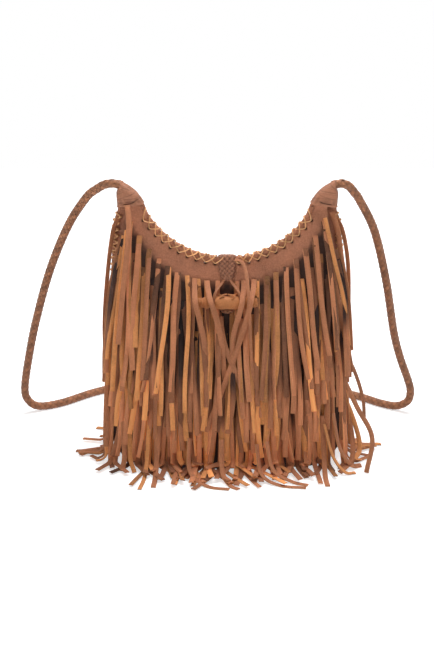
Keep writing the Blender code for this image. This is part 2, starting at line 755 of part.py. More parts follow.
def add_strand(name, side):
    """Make one of the two thongs that hang the toggle from the tab."""
    top_z = TAB_FRONT_END - GAP - STRAND_RADIUS
    top_y = -(float(depth(0.0, top_z)) + GAP + STRAND_RADIUS)
    low_z = TOGGLE_HEIGHT + TOGGLE_CORE_RADIUS + GAP + STRAND_RADIUS
    x = strand_place()
    first = (side * 0.3 * TAB_WIDTH / 2.0, top_y, top_z)
    middle = (side * 0.75 * x, 0.55 * top_y - 0.45 * toggle_axis(), 0.55 * top_z + 0.45 * low_z)
    above = (side * x, -toggle_axis(), low_z + 3.0 * STRAND_RADIUS)
    last = (side * x, -toggle_axis(), low_z - STRAND_RADIUS)
    add_tube(name, [first, middle, above, last], STRAND_RADIUS, 1, LEATHER_BROWN)


def add_toggle_loop():
    """Make the loop that leaves the front panel and carries the barrel from below."""
    face = -float(depth(LOOP_HALF_WIDTH, TOGGLE_HEIGHT - LOOP_RADIUS)) - GAP
    centre = -toggle_axis()
    reach = BARREL_RADIUS + LOOP_RADIUS + 2.0 * GAP
    right = [(LOOP_HALF_WIDTH, face, TOGGLE_HEIGHT), (LOOP_HALF_WIDTH, face - 0.5 * LOOP_RADIUS, TOGGLE_HEIGHT)]
    for turn, across in ((math.radians(35.0), 1.0), (math.radians(62.0), 0.85), (math.radians(82.0), 0.45)):
        right.append((across * LOOP_HALF_WIDTH, centre + reach * math.cos(turn),
                      TOGGLE_HEIGHT - reach * math.sin(turn)))
    points = right + [(-x, y, z) for x, y, z in reversed(right)]
    add_tube("toggle_loop", points, LOOP_RADIUS, 1, LEATHER_BROWN)


def add_thong():
    """Make the flat loose thong that leaves the tab's right side and hangs down the front."""
    front = toggle_axis() + WRAP_COLLAR_RADIUS + GAP + THONG_THICKNESS
    start_x = TAB_WIDTH / 2.0 + 2.0 * GAP
    start_z = MOUTH_LOW - 0.0040
    lace_front = LACE_STAND + 2.0 * LACE_RADIUS
    start_y = float(depth(start_x, start_z)) + lace_front + GAP + THONG_THICKNESS
    low_x = start_x + 0.0200
    layers = LAYER_SPACING * (ROWS - 1) + 3.0 * STRIP_THICKNESS
    low_y = float(depth(low_x, THONG_LOW)) + layers + THONG_THICKNESS
    route = [
        (start_x, -start_y, start_z),
        (start_x + 0.005, -start_y - 0.002, start_z - 0.0005),
        (start_x + 0.011, -0.5 * (start_y + front), start_z - 0.009),
        (start_x + 0.0135, -front, TOGGLE_HEIGHT + 0.014),
        (start_x + 0.0145, -front - 0.001, TOGGLE_HEIGHT - 0.004),
        (start_x + 0.0160, -max(front + 0.002, 0.82 * low_y), 0.5 * (TOGGLE_HEIGHT + THONG_LOW)),
        (low_x, -low_y, THONG_LOW),
    ]
    line = smooth_line(route, 0.008)
    step = np.gradient(line, axis=0)
    step /= np.linalg.norm(step, axis=1)[:, None]
    wide = np.cross(step, np.array([0.0, -1.0, 0.0]))
    wide /= np.linalg.norm(wide, axis=1)[:, None]
    out = np.cross(wide, step)
    half = wide[:, None, :] * np.array([-0.5, 0.5])[None, :, None] * THONG_WIDTH
    face = line[:, None, :] + half
    back = face - out[:, None, :] * THONG_THICKNESS * np.sign(-out[:, None, 1:2])
    return slab("loose_thong", face, back, grid_cells(len(line), 2), LEATHER_LIGHT)


def add_strap():
    """Make the round braided strap from cap tip to cap tip, straight where it leaves each tip."""
    leave = np.array([math.sin(CAP_TIP_TILT), 0.0, math.cos(CAP_TIP_TILT)])
    mirror = np.array([-1.0, 1.0, 1.0])
    tip = np.array([CAP_TIP_OUT, 0.0, CAP_TIP_HEIGHT]) + GAP * leave
    stub = tip + STRAP_STUB * leave
    line = smooth_line(np.vstack([stub * mirror, STRAP_ROUTE, stub]), STRAP_SPACING)
    line = np.vstack([tip * mirror, line, tip])
    add_tube("shoulder_strap", line, STRAP_DIAMETER / 2.0, 2, LEATHER_BROWN)


def main():
    """Build the whole bag."""
    clear_scene()
    add_panel("front_panel", -1)
    add_panel("back_panel", 1)
    add_gusset()
    add_lining()
    for word, side in (("left", -1), ("right", 1)):
        add_ear_cap(word + "_ear_cap", side)
        for row in range(len(SIDE_SEAMS)):
            add_side_row(word + "_side_strips_" + str(row + 1), side, row)
    for word, side in (("front", -1), ("back", 1)):
        for row in range(ROWS):
            add_fringe_row(word + "_fringe_row_" + str(row + 1), side, row)
        add_mouth_lace("mouth_lace_" + word, side)
    add_tab()
    add_toggle()
    add_toggle_loop()
    add_thong()
    add_strap()


main()
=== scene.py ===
"""The looks of a fringed suede shoulder bag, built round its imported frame.

Metres, +Z up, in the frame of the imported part: the front faces -Y and the bag stands on z = 0.
"""

import json
import logging
import math
from dataclasses import dataclass, field
from enum import Enum

import bpy
import numpy as np
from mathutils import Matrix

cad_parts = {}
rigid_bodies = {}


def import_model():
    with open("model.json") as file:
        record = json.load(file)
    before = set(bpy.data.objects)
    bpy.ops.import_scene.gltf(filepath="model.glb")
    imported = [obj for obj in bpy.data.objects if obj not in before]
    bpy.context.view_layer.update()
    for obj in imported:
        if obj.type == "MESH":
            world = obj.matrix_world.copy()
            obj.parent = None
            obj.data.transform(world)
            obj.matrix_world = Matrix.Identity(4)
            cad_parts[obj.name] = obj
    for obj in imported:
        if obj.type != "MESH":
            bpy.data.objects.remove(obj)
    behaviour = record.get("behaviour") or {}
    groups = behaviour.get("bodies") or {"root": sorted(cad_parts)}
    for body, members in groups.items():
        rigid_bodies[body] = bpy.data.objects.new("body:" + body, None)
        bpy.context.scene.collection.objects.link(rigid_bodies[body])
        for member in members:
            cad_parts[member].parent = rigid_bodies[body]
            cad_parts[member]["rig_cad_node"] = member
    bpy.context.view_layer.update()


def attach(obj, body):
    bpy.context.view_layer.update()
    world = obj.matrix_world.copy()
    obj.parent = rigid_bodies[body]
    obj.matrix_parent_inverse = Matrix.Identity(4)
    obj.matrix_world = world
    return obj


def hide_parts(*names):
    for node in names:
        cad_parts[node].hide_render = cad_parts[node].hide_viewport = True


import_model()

LOG = logging.getLogger("bag")
Array = np.ndarray
Colour = tuple[float, float, float]
# Marks: tone (random lightness; in the fringe rows also painted light and shade), flesh and cut (the
# leather's own sides and edges), and painted shade.
MARKS = ("tone", "flesh", "cut", "hollow")
SHARP_FROM = math.radians(42.0)


class Side(Enum):
    """The two faces of the bag, by the sign of Y that they face."""

    FRONT = -1
    BACK = 1


class Slot(Enum):
    """The record's material slots."""

    BROWN = "brown_leather"
    FRINGE = "fringe_leather"
    TAN = "tan_leather"
    LACE = "lace"
    LINING = "lining_cloth"
    STRAP = "strap_leather"


# Numbers on arrays of points


def unit(vectors: Array) -> Array:
    """Scale the vectors on the last axis to length one."""
    return vectors / np.maximum(np.linalg.norm(vectors, axis=-1, keepdims=True), 1e-12)


def smooth_step(value: Array, low: float, high: float) -> Array:
    """Rise from 0 at low to 1 at high as 3t^2 - 2t^3."""
    share = np.clip((value - low) / (high - low), 0.0, 1.0)
    return share * share * (3.0 - 2.0 * share)


def curve_through(points: Array, steps: int) -> Array:
    """Run a smooth curve through control points.

    Each span is the Catmull-Rom cubic of its four nearest points, with the ends mirrored.

    Args:
        points: control points on the last but one axis; any axes before it are separate curves.
        steps: samples per span.

    Returns:
        The samples, with the last control point as the last one.
    """
    points = np.asarray(points, float)
    first = 2.0 * points[..., :1, :] - points[..., 1:2, :]
    last = 2.0 * points[..., -1:, :] - points[..., -2:-1, :]
    padded = np.concatenate([first, points, last], axis=-2)
    a, b, c, d = (padded[..., k : k + points.shape[-2] - 1, None, :] for k in range(4))
    t = np.linspace(0.0, 1.0, steps, endpoint=False)[:, None]
    spans = 0.5 * (
        2 * b + (c - a) * t + (2 * a - 5 * b + 4 * c - d) * t**2 + (3 * b - a - 3 * c + d) * t**3
    )
    flat = spans.reshape(*points.shape[:-2], -1, points.shape[-1])
    return np.concatenate([flat, points[..., -1:, :]], axis=-2)


def run_along(points: Array) -> Array:
    """Length walked along a line of points, from 0 at its first one."""
    steps = np.linalg.norm(np.diff(points, axis=-2), axis=-1)
    zero = np.zeros(steps.shape[:-1] + (1,))
    return np.concatenate([zero, np.cumsum(steps, axis=-1)], axis=-1)


def read_evenly(points: Array, samples: int) -> Array:
    """Read a single line again at so many evenly spaced points."""
    run = run_along(points)
    even = np.linspace(0.0, run[-1], samples)
    return np.stack([np.interp(even, run, points[:, axis]) for axis in range(3)], axis=-1)


def even_line(points: Array, spacing: float) -> Array:
    """Read a single line again at an even spacing close to the given one."""
    return read_evenly(points, max(3, int(round(run_along(points)[-1] / spacing)) + 1))


# Meshes


@dataclass
class Patch:
    """Points, faces and per-point marks of a piece of mesh."""

    points: Array
    faces: list[Array]
    marks: dict[str, Array] = field(default_factory=dict)

    @staticmethod
    def join(patches: list["Patch"]) -> "Patch":
        """Put several patches into one, in order."""
        faces: list[Array] = []
        count = 0
        for patch in patches:
            faces += [group + count for group in patch.faces]
            count += len(patch.points)
        marks = {
            mark: np.concatenate([p.marks.get(mark, np.zeros(len(p.points))) for p in patches])
            for mark in MARKS
        }
        return Patch(np.concatenate([p.points for p in patches]), faces, marks)


def grid_faces(rows: int, columns: int) -> Array:
    """Quads between the rows and columns of an open grid of points."""
    first = np.arange(rows - 1)[:, None] * columns + np.arange(columns - 1)[None, :]
    return np.stack([first, first + 1, first + 1 + columns, first + columns], axis=-1).reshape(-1, 4)


def tube_faces(copies: int, rings: int, corners: int) -> list[Array]:
    """Quads along each of several equal tubes, and one face at each end."""
    ring = np.arange(rings - 1)[:, None] * corners
    here = ring + np.arange(corners)[None, :]
    after = ring + (np.arange(corners)[None, :] + 1) % corners
    walls = np.stack([here, after, after + corners, here + corners], axis=-1).reshape(-1, 4)
    ends = np.stack([np.arange(corners)[::-1], (rings - 1) * corners + np.arange(corners)])
    start = (np.arange(copies) * rings * corners)[:, None, None]
    return [(start + walls[None]).reshape(-1, 4), (start + ends[None]).reshape(-1, corners)]


def sweep(paths: Array, across: Array, section: Array, twist: Array | float = 0.0) -> Array:
    """Carry a flat section along paths.

    A point is path + a * W + b * N, where T is the path's direction, W is across made square
    to T, N = T x W, and both are turned about T by the twist.

    Args:
        paths: curves, as copies x samples x 3.
        across: the direction of the section's first coordinate, of any shape that broadcasts.
        section: corners x 2, or an array that broadcasts to copies x samples x corners x 2.
        twist: radians, copies x samples or a number.

    Returns:
        Points as copies x samples x corners x 3.
    """
    along = unit(np.gradient(paths, axis=-2))
    wide = np.broadcast_to(across, paths.shape)
    wide = unit(wide - np.sum(wide * along, axis=-1, keepdims=True) * along)
    out = np.cross(along, wide)
    turn = np.broadcast_to(np.asarray(twist, float), paths.shape[:-1])[..., None]
    wide, out = wide * np.cos(turn) + out * np.sin(turn), out * np.cos(turn) - wide * np.sin(turn)
    section = np.broadcast_to(section, paths.shape[:-1] + section.shape[-2:])
    first = section[..., 0:1] * wide[..., None, :]
    second = section[..., 1:2] * out[..., None, :]
    return paths[..., None, :] + first + second


def round_section(radius: Array | float, corners: int, flat: float = 1.0) -> Array:
    """Corners of an ellipse, its second radius being flat times the first."""
    turn = np.arange(corners) * 2.0 * math.pi / corners
    circle = np.stack([np.cos(turn), flat * np.sin(turn)], axis=-1)
    return np.asarray(radius, float)[..., None, None] * circle


def tubes(
    paths: Array, across: Array, radius: Array | float, corners: int, tone: Array | float = 0.0
) -> Patch:
    """Round tubes along paths, each with its own tone."""
    paths = paths if paths.ndim == 3 else paths[None]
    points = sweep(paths, across, round_section(radius, corners))
    tones = np.broadcast_to(np.reshape(np.asarray(tone, float), (-1, 1, 1)), points.shape[:-1])
    faces = tube_faces(points.shape[0], points.shape[1], corners)
    return Patch(points.reshape(-1, 3), faces, {"tone": tones.reshape(-1)})


@dataclass(frozen=True)
class Strip:
    """Cross-section of a cut leather strip: chamfered corners and a slight crown."""

    width: float = 0.0056
    thickness: float = 0.0011
    chamfer: float = 0.00022
    crown: float = 0.00030
    floor_gap: float = 0.0001

    def section(self) -> Array:
        """The ten corners, anticlockwise from the right edge's upper one."""
        a, b, c = self.width / 2.0, self.thickness / 2.0, self.chamfer
        across = [a, a - c, 0.0, c - a, -a, -a, c - a, 0.0, a - c, a]
        out = [b - c, b, b + self.crown, b, b - c, c - b, -b, self.crown - b, -b, c - b]
        return np.array([across, out]).T

    def patch(
        self, paths: Array, across: Array, twist: Array, tone: Array, flesh: Array, scale: Array
    ) -> Patch:
        """Make strips along paths.

        Args:
            paths: copies x samples x 3.
            across: direction of the width.
            twist: turn about the path, copies x samples.
            tone: lightness of each copy.
            flesh: 1 where a copy shows its flesh side outwards, else 0.
            scale: width factor of each copy.

        Returns:
            The strips, kept above the floor and marked with tone, flesh and cut edges.
        """
        section = self.section()[None, None] * np.stack([scale, np.ones_like(scale)], -1)[:, None, None, :]
        points = sweep(paths, across, section, twist)
        points[..., 2] = np.maximum(points[..., 2], self.floor_gap)
        copies, samples, corners = points.shape[:3]
        outer = np.array([0, 1, 1, 1, 0, 0, 0, 0, 0, 0], float)
        inner = np.array([0, 0, 0, 0, 0, 0, 1, 1, 1, 0], float)
        shape = (copies, samples, corners)
        side = flesh[:, None, None] * outer + (1.0 - flesh[:, None, None]) * inner
        cut = np.broadcast_to(1.0 - outer - inner, shape)
        marks = {
            "tone": np.broadcast_to(tone[:, None, None], shape).reshape(-1),
            "flesh": np.broadcast_to(side, shape).reshape(-1),
            "cut": cut.reshape(-1),
        }
        return Patch(points.reshape(-1, 3), tube_faces(copies, samples, corners), marks)


def make_piece(
    name: str,
    patches: list[Patch],
    material: bpy.types.Material,
    slot: Slot,
    nodes: tuple[str, ...] = (),
    wall: float = 0.0,
) -> bpy.types.Object:
    """Put patches into one object that rides on the bag.

    Args:
        name: the piece's name.
        patches: its meshes.
        material: its finish.
        slot: the record's slot for that finish; not used.
        nodes: the CAD nodes that it stands for.
        wall: thickness that an open sheet gets on its inner side.

    Returns:
        The object, at the origin.
    """
    whole = Patch.join(patches)
    mesh = bpy.data.meshes.new(name)
    mesh.from_pydata(whole.points.tolist(), [], [face for group in whole.faces for face in group.tolist()])
    for mark in MARKS:
        layer = mesh.attributes.new(mark, "FLOAT", "POINT")
        layer.data.foreach_set("value", whole.marks[mark].astype(np.float32))
    mesh.shade_smooth()
    mesh.set_sharp_from_angle(angle=SHARP_FROM)
    mesh.materials.append(material)
    piece = bpy.data.objects.new(name, mesh)
    bpy.context.scene.collection.objects.link(piece)
    if wall > 0.0:
        solid = piece.modifiers.new("wall", "SOLIDIFY")
        solid.thickness = wall
        solid.offset = -1.0
    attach(piece, "root")
    if nodes:
        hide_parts(*nodes)
    LOG.info("%s: %d faces", name, len(mesh.polygons))
    return piece


# Finishes


class Nodes:
    """A material's node tree, with short ways to add nodes and join them."""

    def __init__(self, name: str) -> None:
        """Start a material of the given name with its Principled shader."""
        self.material = bpy.data.materials.new(name)
        self.material.use_nodes = True
        self.tree = self.material.node_tree
        self.shader = self.tree.nodes["Principled BSDF"]
        self.place = self.add("ShaderNodeTexCoord").outputs["Object"]

    def add(self, kind: str, **settings: object) -> bpy.types.Node:
        """Add a node and set its properties."""
        node = self.tree.nodes.new(kind)
        for key, value in settings.items():
            setattr(node, key, value)
        return node

    def feed(self, socket: bpy.types.NodeSocket, value: object) -> None:
        """Link a socket into another, or write a plain value into it."""
        if isinstance(value, bpy.types.NodeSocket):
            self.tree.links.new(value, socket)
        else:
            socket.default_value = value

    def mark(self, name: str) -> bpy.types.NodeSocket:
        """Read one of the mesh's marks."""
        return self.add("ShaderNodeAttribute", attribute_name=name).outputs["Fac"]

    def noise(self, scale: float, detail: float = 2.0, place: object = None) -> bpy.types.NodeSocket:
        """Noise from 0 to 1 on the object's own coordinates, scale counts per metre."""
        node = self.add("ShaderNodeTexNoise")
        node.inputs["Scale"].default_value = scale
        node.inputs["Detail"].default_value = detail
        self.feed(node.inputs["Vector"], place or self.place)
        return node.outputs["Fac"]

    def maths(self, operation: str, *values: object) -> bpy.types.NodeSocket:
        """One Math node."""
        node = self.add("ShaderNodeMath", operation=operation)
        for socket, value in zip(node.inputs, values):
            self.feed(socket, value)
        return node.outputs[0]

    def spread(self, value: object, low: float, high: float) -> bpy.types.NodeSocket:
        """Stretch the middle of a noise, 0.3 to 0.7, over low to high."""
        node = self.add("ShaderNodeMapRange")
        for socket, number in zip(node.inputs, (value, 0.3, 0.7, low, high)):
            self.feed(socket, number)
        return node.outputs[0]

    def mix(self, share: object, first: object, second: object) -> bpy.types.NodeSocket:
        """Mix two colours by a share."""
        node = self.add("ShaderNodeMix", data_type="RGBA")
        self.feed(node.inputs["Factor"], share)
        for socket, value in zip((node.inputs[6], node.inputs[7]), (first, second)):
            self.feed(socket, value if isinstance(value, bpy.types.NodeSocket) else (*value, 1.0))
        return node.outputs[2]

    def scaled(self, colour: object, factor: object) -> bpy.types.NodeSocket:
        """Multiply a colour by a number."""
        node = self.add("ShaderNodeVectorMath", operation="SCALE")
        self.feed(node.inputs[0], colour)
        self.feed(node.inputs["Scale"], factor)
        return node.outputs[0]

    def bump(self, height: object, depth: float) -> None:
        """Raise the surface by a height times a depth in metres."""
        node = self.add("ShaderNodeBump")
        node.inputs["Distance"].default_value = depth
        self.feed(node.inputs["Height"], height)
        self.feed(self.shader.inputs["Normal"], node.outputs[0])


@dataclass(frozen=True)
class Leather:
    """A leather with a grain side, a flesh side and paler cut edges."""

    name: str
    grain: Colour
    flesh: Colour
    edge: Colour
    # Colour of the painted shade that the shade mark mixes in.
    hollow: Colour
    roughness: float
    mottle: float
    pebble: float
    pebble_depth: float
    sheen: float = 0.06

    def material(self) -> bpy.types.Material:
        """Build the finish.

        The colour is the side's own by the marks flesh and cut, mixed towards painted shade by its mark,
        times
        1 + 0.30 tone + a mottle of two noises; in the fringe rows the tone also carries painted light and
        shade. The grain is a fine noise mixed with small cells.
        """
        nodes = Nodes(self.name)
        colour = nodes.mix(nodes.mark("flesh"), self.grain, self.flesh)
        colour = nodes.mix(nodes.maths("MULTIPLY", nodes.mark("cut"), 0.7), colour, self.edge)
        # Painted shade: darken towards the shade colour by the shade mark.
        colour = nodes.mix(nodes.mark("hollow"), colour, self.hollow)
        broad = nodes.spread(nodes.noise(38.0, 3.0), -self.mottle, self.mottle)
        fine = nodes.spread(nodes.noise(520.0, 3.0), -0.6 * self.mottle, 0.6 * self.mottle)
        light = nodes.maths("ADD", nodes.maths("MULTIPLY", nodes.mark("tone"), 0.30), 1.0)
        light = nodes.maths("ADD", nodes.maths("ADD", broad, fine), light)
        nodes.feed(nodes.shader.inputs["Base Color"], nodes.scaled(colour, light))
        rough = nodes.spread(nodes.noise(160.0), self.roughness - 0.08, self.roughness + 0.08)
        nodes.feed(nodes.shader.inputs["Roughness"], rough)
        nodes.shader.inputs["Sheen Weight"].default_value = self.sheen
        nodes.shader.inputs["Sheen Roughness"].default_value = 0.6
        nodes.shader.inputs["Specular IOR Level"].default_value = 0.35
        cells = nodes.add("ShaderNodeTexVoronoi")
        cells.inputs["Scale"].default_value = self.pebble
        nodes.feed(cells.inputs["Vector"], nodes.place)
        height = nodes.maths("ADD", nodes.noise(self.pebble * 0.8, 4.0), cells.outputs["Distance"])
        nodes.bump(height, self.pebble_depth)
        return nodes.material


@dataclass(frozen=True)
class WaxedLace:
    """A pale waxed lace."""

    name: str
    colour: Colour
    worn: Colour

    def material(self) -> bpy.types.Material:
        """Build the finish: two tans mixed by a noise, slightly glossy."""
        nodes = Nodes(self.name)
        share = nodes.spread(nodes.noise(300.0), 0.0, 1.0)
        light = nodes.maths("ADD", nodes.maths("MULTIPLY", nodes.mark("tone"), 0.25), 1.0)
        colour = nodes.mix(share, self.colour, self.worn)
        nodes.feed(nodes.shader.inputs["Base Color"], nodes.scaled(colour, light))
        nodes.shader.inputs["Roughness"].default_value = 0.5
        nodes.bump(nodes.noise(1800.0, 3.0), 0.0002)
        return nodes.material


@dataclass(frozen=True)
class BlackCloth:
    """Plain woven lining."""

    name: str
    colour: Colour
    threads: float

    def material(self) -> bpy.types.Material:
        """Build the finish: a weave of two crossed waves, as many threads per metre as given."""
        nodes = Nodes(self.name)
        heights = []
        for direction in ("X", "Z"):
            wave = nodes.add("ShaderNodeTexWave", bands_direction=direction)
            wave.inputs["Scale"].default_value = self.threads / 20.0
            nodes.feed(wave.inputs["Vector"], nodes.place)
            heights.append(wave.outputs["Fac"])
        weave = nodes.maths("MULTIPLY", *heights)
        light = nodes.spread(weave, 0.7, 1.4)
        nodes.feed(nodes.shader.inputs["Base Color"], nodes.scaled(self.colour, light))
        nodes.shader.inputs["Roughness"].default_value = 0.9
        nodes.bump(weave, 0.0002)
        return nodes.material


# The fourth colour of each leather is the colour of its painted shade.
PANEL_LEATHER = Leather(
    "panel_leather", (0.480, 0.190, 0.100), (0.45, 0.20, 0.09), (0.66, 0.36, 0.18), (0.026, 0.010, 0.007),
    roughness=0.60, mottle=0.19, pebble=900.0, pebble_depth=0.00035,
)
CAP_LEATHER = Leather(
    "cap_leather", (0.440, 0.182, 0.098), (0.45, 0.20, 0.09), (0.58, 0.30, 0.15), (0.045, 0.016, 0.009),
    roughness=0.50, mottle=0.12, pebble=1100.0, pebble_depth=0.00025,
)
FRINGE_SUEDE = Leather(
    "fringe_suede", (0.490, 0.186, 0.084), (0.780, 0.315, 0.105), (0.72, 0.34, 0.135), (0.030, 0.009, 0.005),
    roughness=0.72, mottle=0.15, pebble=1500.0, pebble_depth=0.00030, sheen=0.08,
)
TOGGLE_SUEDE = Leather(
    "toggle_suede", (0.52, 0.195, 0.064), (0.56, 0.25, 0.10), (0.6, 0.3, 0.14), (0.10, 0.035, 0.015),
    roughness=0.62, mottle=0.14, pebble=1300.0, pebble_depth=0.00030,
)
STRAP_LEATHER = Leather(
    "strap_leather", (0.440, 0.182, 0.084), (0.45, 0.20, 0.09), (0.50, 0.23, 0.11), (0.070, 0.024, 0.012),
    roughness=0.52, mottle=0.12, pebble=1300.0, pebble_depth=0.00020,
)
LACE = WaxedLace("waxed_lace", (0.88, 0.50, 0.24), (0.74, 0.36, 0.14))
LINING = BlackCloth("lining_cloth", (0.014, 0.010, 0.010), 1400.0)


# The bag's shape, as the frame has it


@dataclass(frozen=True)
class BagShape:
    """Outline and depth of the bag, with the sizes that the frame was built from."""

    half_width: float = 0.127
    corner_radius: float = 0.040
    ear_half_width: float = 0.1155
    ear_top: float = 0.296
    mouth_low: float = 0.231
    mouth_radius: float = 0.098
    side_depth: float = 0.036
    belly: float = 0.014
    mouth_depth: float = 0.0056
    front_drop: float = 0.0013
    back_drop: float = 0.0052
    back_swell: float = 0.0050
    depth_power: float = 1.35
    leather: float = 0.0015
    cap_bottom: float = 0.2815
    front_draw: float = 0.0095
    row_centre: float = 0.2040
    row_rise: float = 0.0760
    row_reach: float = 0.1095
    rise_power: float = 2.8
    row_spacing: float = 0.028
    rows: int = 6
    flare: float = 0.12

    @property
    def mouth_centre(self) -> float:
        """Height of the centre of the mouth's arc."""
        return self.mouth_low + self.mouth_radius

    @property
    def ear_inner(self) -> float:
        """Where the mouth's arc meets the top of an ear."""
        return math.sqrt(self.mouth_radius**2 - (self.mouth_centre - self.ear_top) ** 2)

    def width_at(self, z: Array) -> Array:
        """Half the width at height z: straight at the base, drawn in by the square of the rise."""
        rise = np.clip((z - self.corner_radius) / (self.ear_top - self.corner_radius), 0.0, 1.0)
        return self.half_width - (self.half_width - self.ear_half_width) * rise**2

    def edge_at(self, z: Array, side: Side) -> Array:
        """Side edge of a panel: the front one is drawn in where the gusset folds, the back swells."""
        if side is Side.FRONT:
            return self.width_at(z) - self.front_draw * smooth_step(z, 0.13, 0.26)
        swell = self.back_swell * smooth_step(z, 0.10, 0.22)
        return self.width_at(z) + swell * (1.0 - smooth_step(z, 0.262, 0.286))

    def edge_drop(self, side: Side) -> float:
        """How far a panel's mouth edge lies below the arc; the back one leans in behind the front."""
        return self.front_drop if side is Side.FRONT else self.back_drop

    def mouth_height(self, x: Array) -> Array:
        """Height of the top edge: the arc between the ears, level across each ear."""
        reach = np.minimum(np.abs(x), self.ear_inner)
        return self.mouth_centre - np.sqrt(self.mouth_radius**2 - reach**2)

    def depth(self, x: Array, z: Array) -> Array:
        """Half the depth: fuller in the middle, falling from the base to the mouth by a power."""
        across = np.clip(np.abs(x) / self.half_width, 0.0, 1.0)
        base = self.side_depth + self.belly * (1.0 - across**2)
        share = np.clip(z / np.minimum(self.mouth_height(x), self.cap_bottom), 0.0, 1.0)
        return self.mouth_depth + (base - self.mouth_depth) * (1.0 - share**self.depth_power)

    def bottom_height(self, across: Array) -> Array:
        """Height of the lower edge with its round corners, at a share of the half width."""
        past = np.abs(across) * self.half_width - (self.half_width - self.corner_radius)
        over = np.clip(past, 0.0, self.corner_radius)
        return self.corner_radius - np.sqrt(self.corner_radius**2 - over**2)

    def row_height(self, x: Array, row: int) -> Array:
        """Height of a fringe row's seam, which follows the mouth."""
        rise = self.row_rise * (np.abs(x) / self.row_reach) ** self.rise_power
        return self.row_centre + rise - self.row_spacing * row

    def spread(self, z: Array) -> Array:
        """Factor by which strips stand further apart at height z, more towards the floor."""
        return 1.0 + self.flare * (1.0 - z / self.cap_bottom)


@dataclass(frozen=True)
class LaceHoles:
    """The holes along the mouth, on an arc below its edge."""

    radius: float = 0.0013
    inset: float = 0.0085
    pitch: float = 0.0103
    each_side: int = 10
    first: float = 0.0130

    def angles(self, shape: BagShape) -> Array:
        """Angles of the holes from straight down, about the centre of the mouth's arc."""
        half = (self.first + self.pitch * np.arange(self.each_side)) / (shape.mouth_radius + self.inset)
        return np.concatenate([-half[::-1], half])

    def step(self, shape: BagShape) -> float:
        """Angle from one hole to the next."""
        return self.pitch / (shape.mouth_radius + self.inset)


def soft_waves(x: Array, z: Array, seed: int) -> Array:
    """A smooth unevenness from -1 to 1: the mean of five slanted sine waves."""
    rng = np.random.default_rng(seed)
    total = np.zeros(np.broadcast(x, z).shape)
    for _ in range(5):
        turn, phase = rng.uniform(0.0, math.pi), rng.uniform(0.0, 2.0 * math.pi)
        length = rng.uniform(0.025, 0.075)
        total += np.sin(2.0 * math.pi * (x * math.cos(turn) + z * math.sin(turn)) / length + phase)
    return total / 5.0


# Body


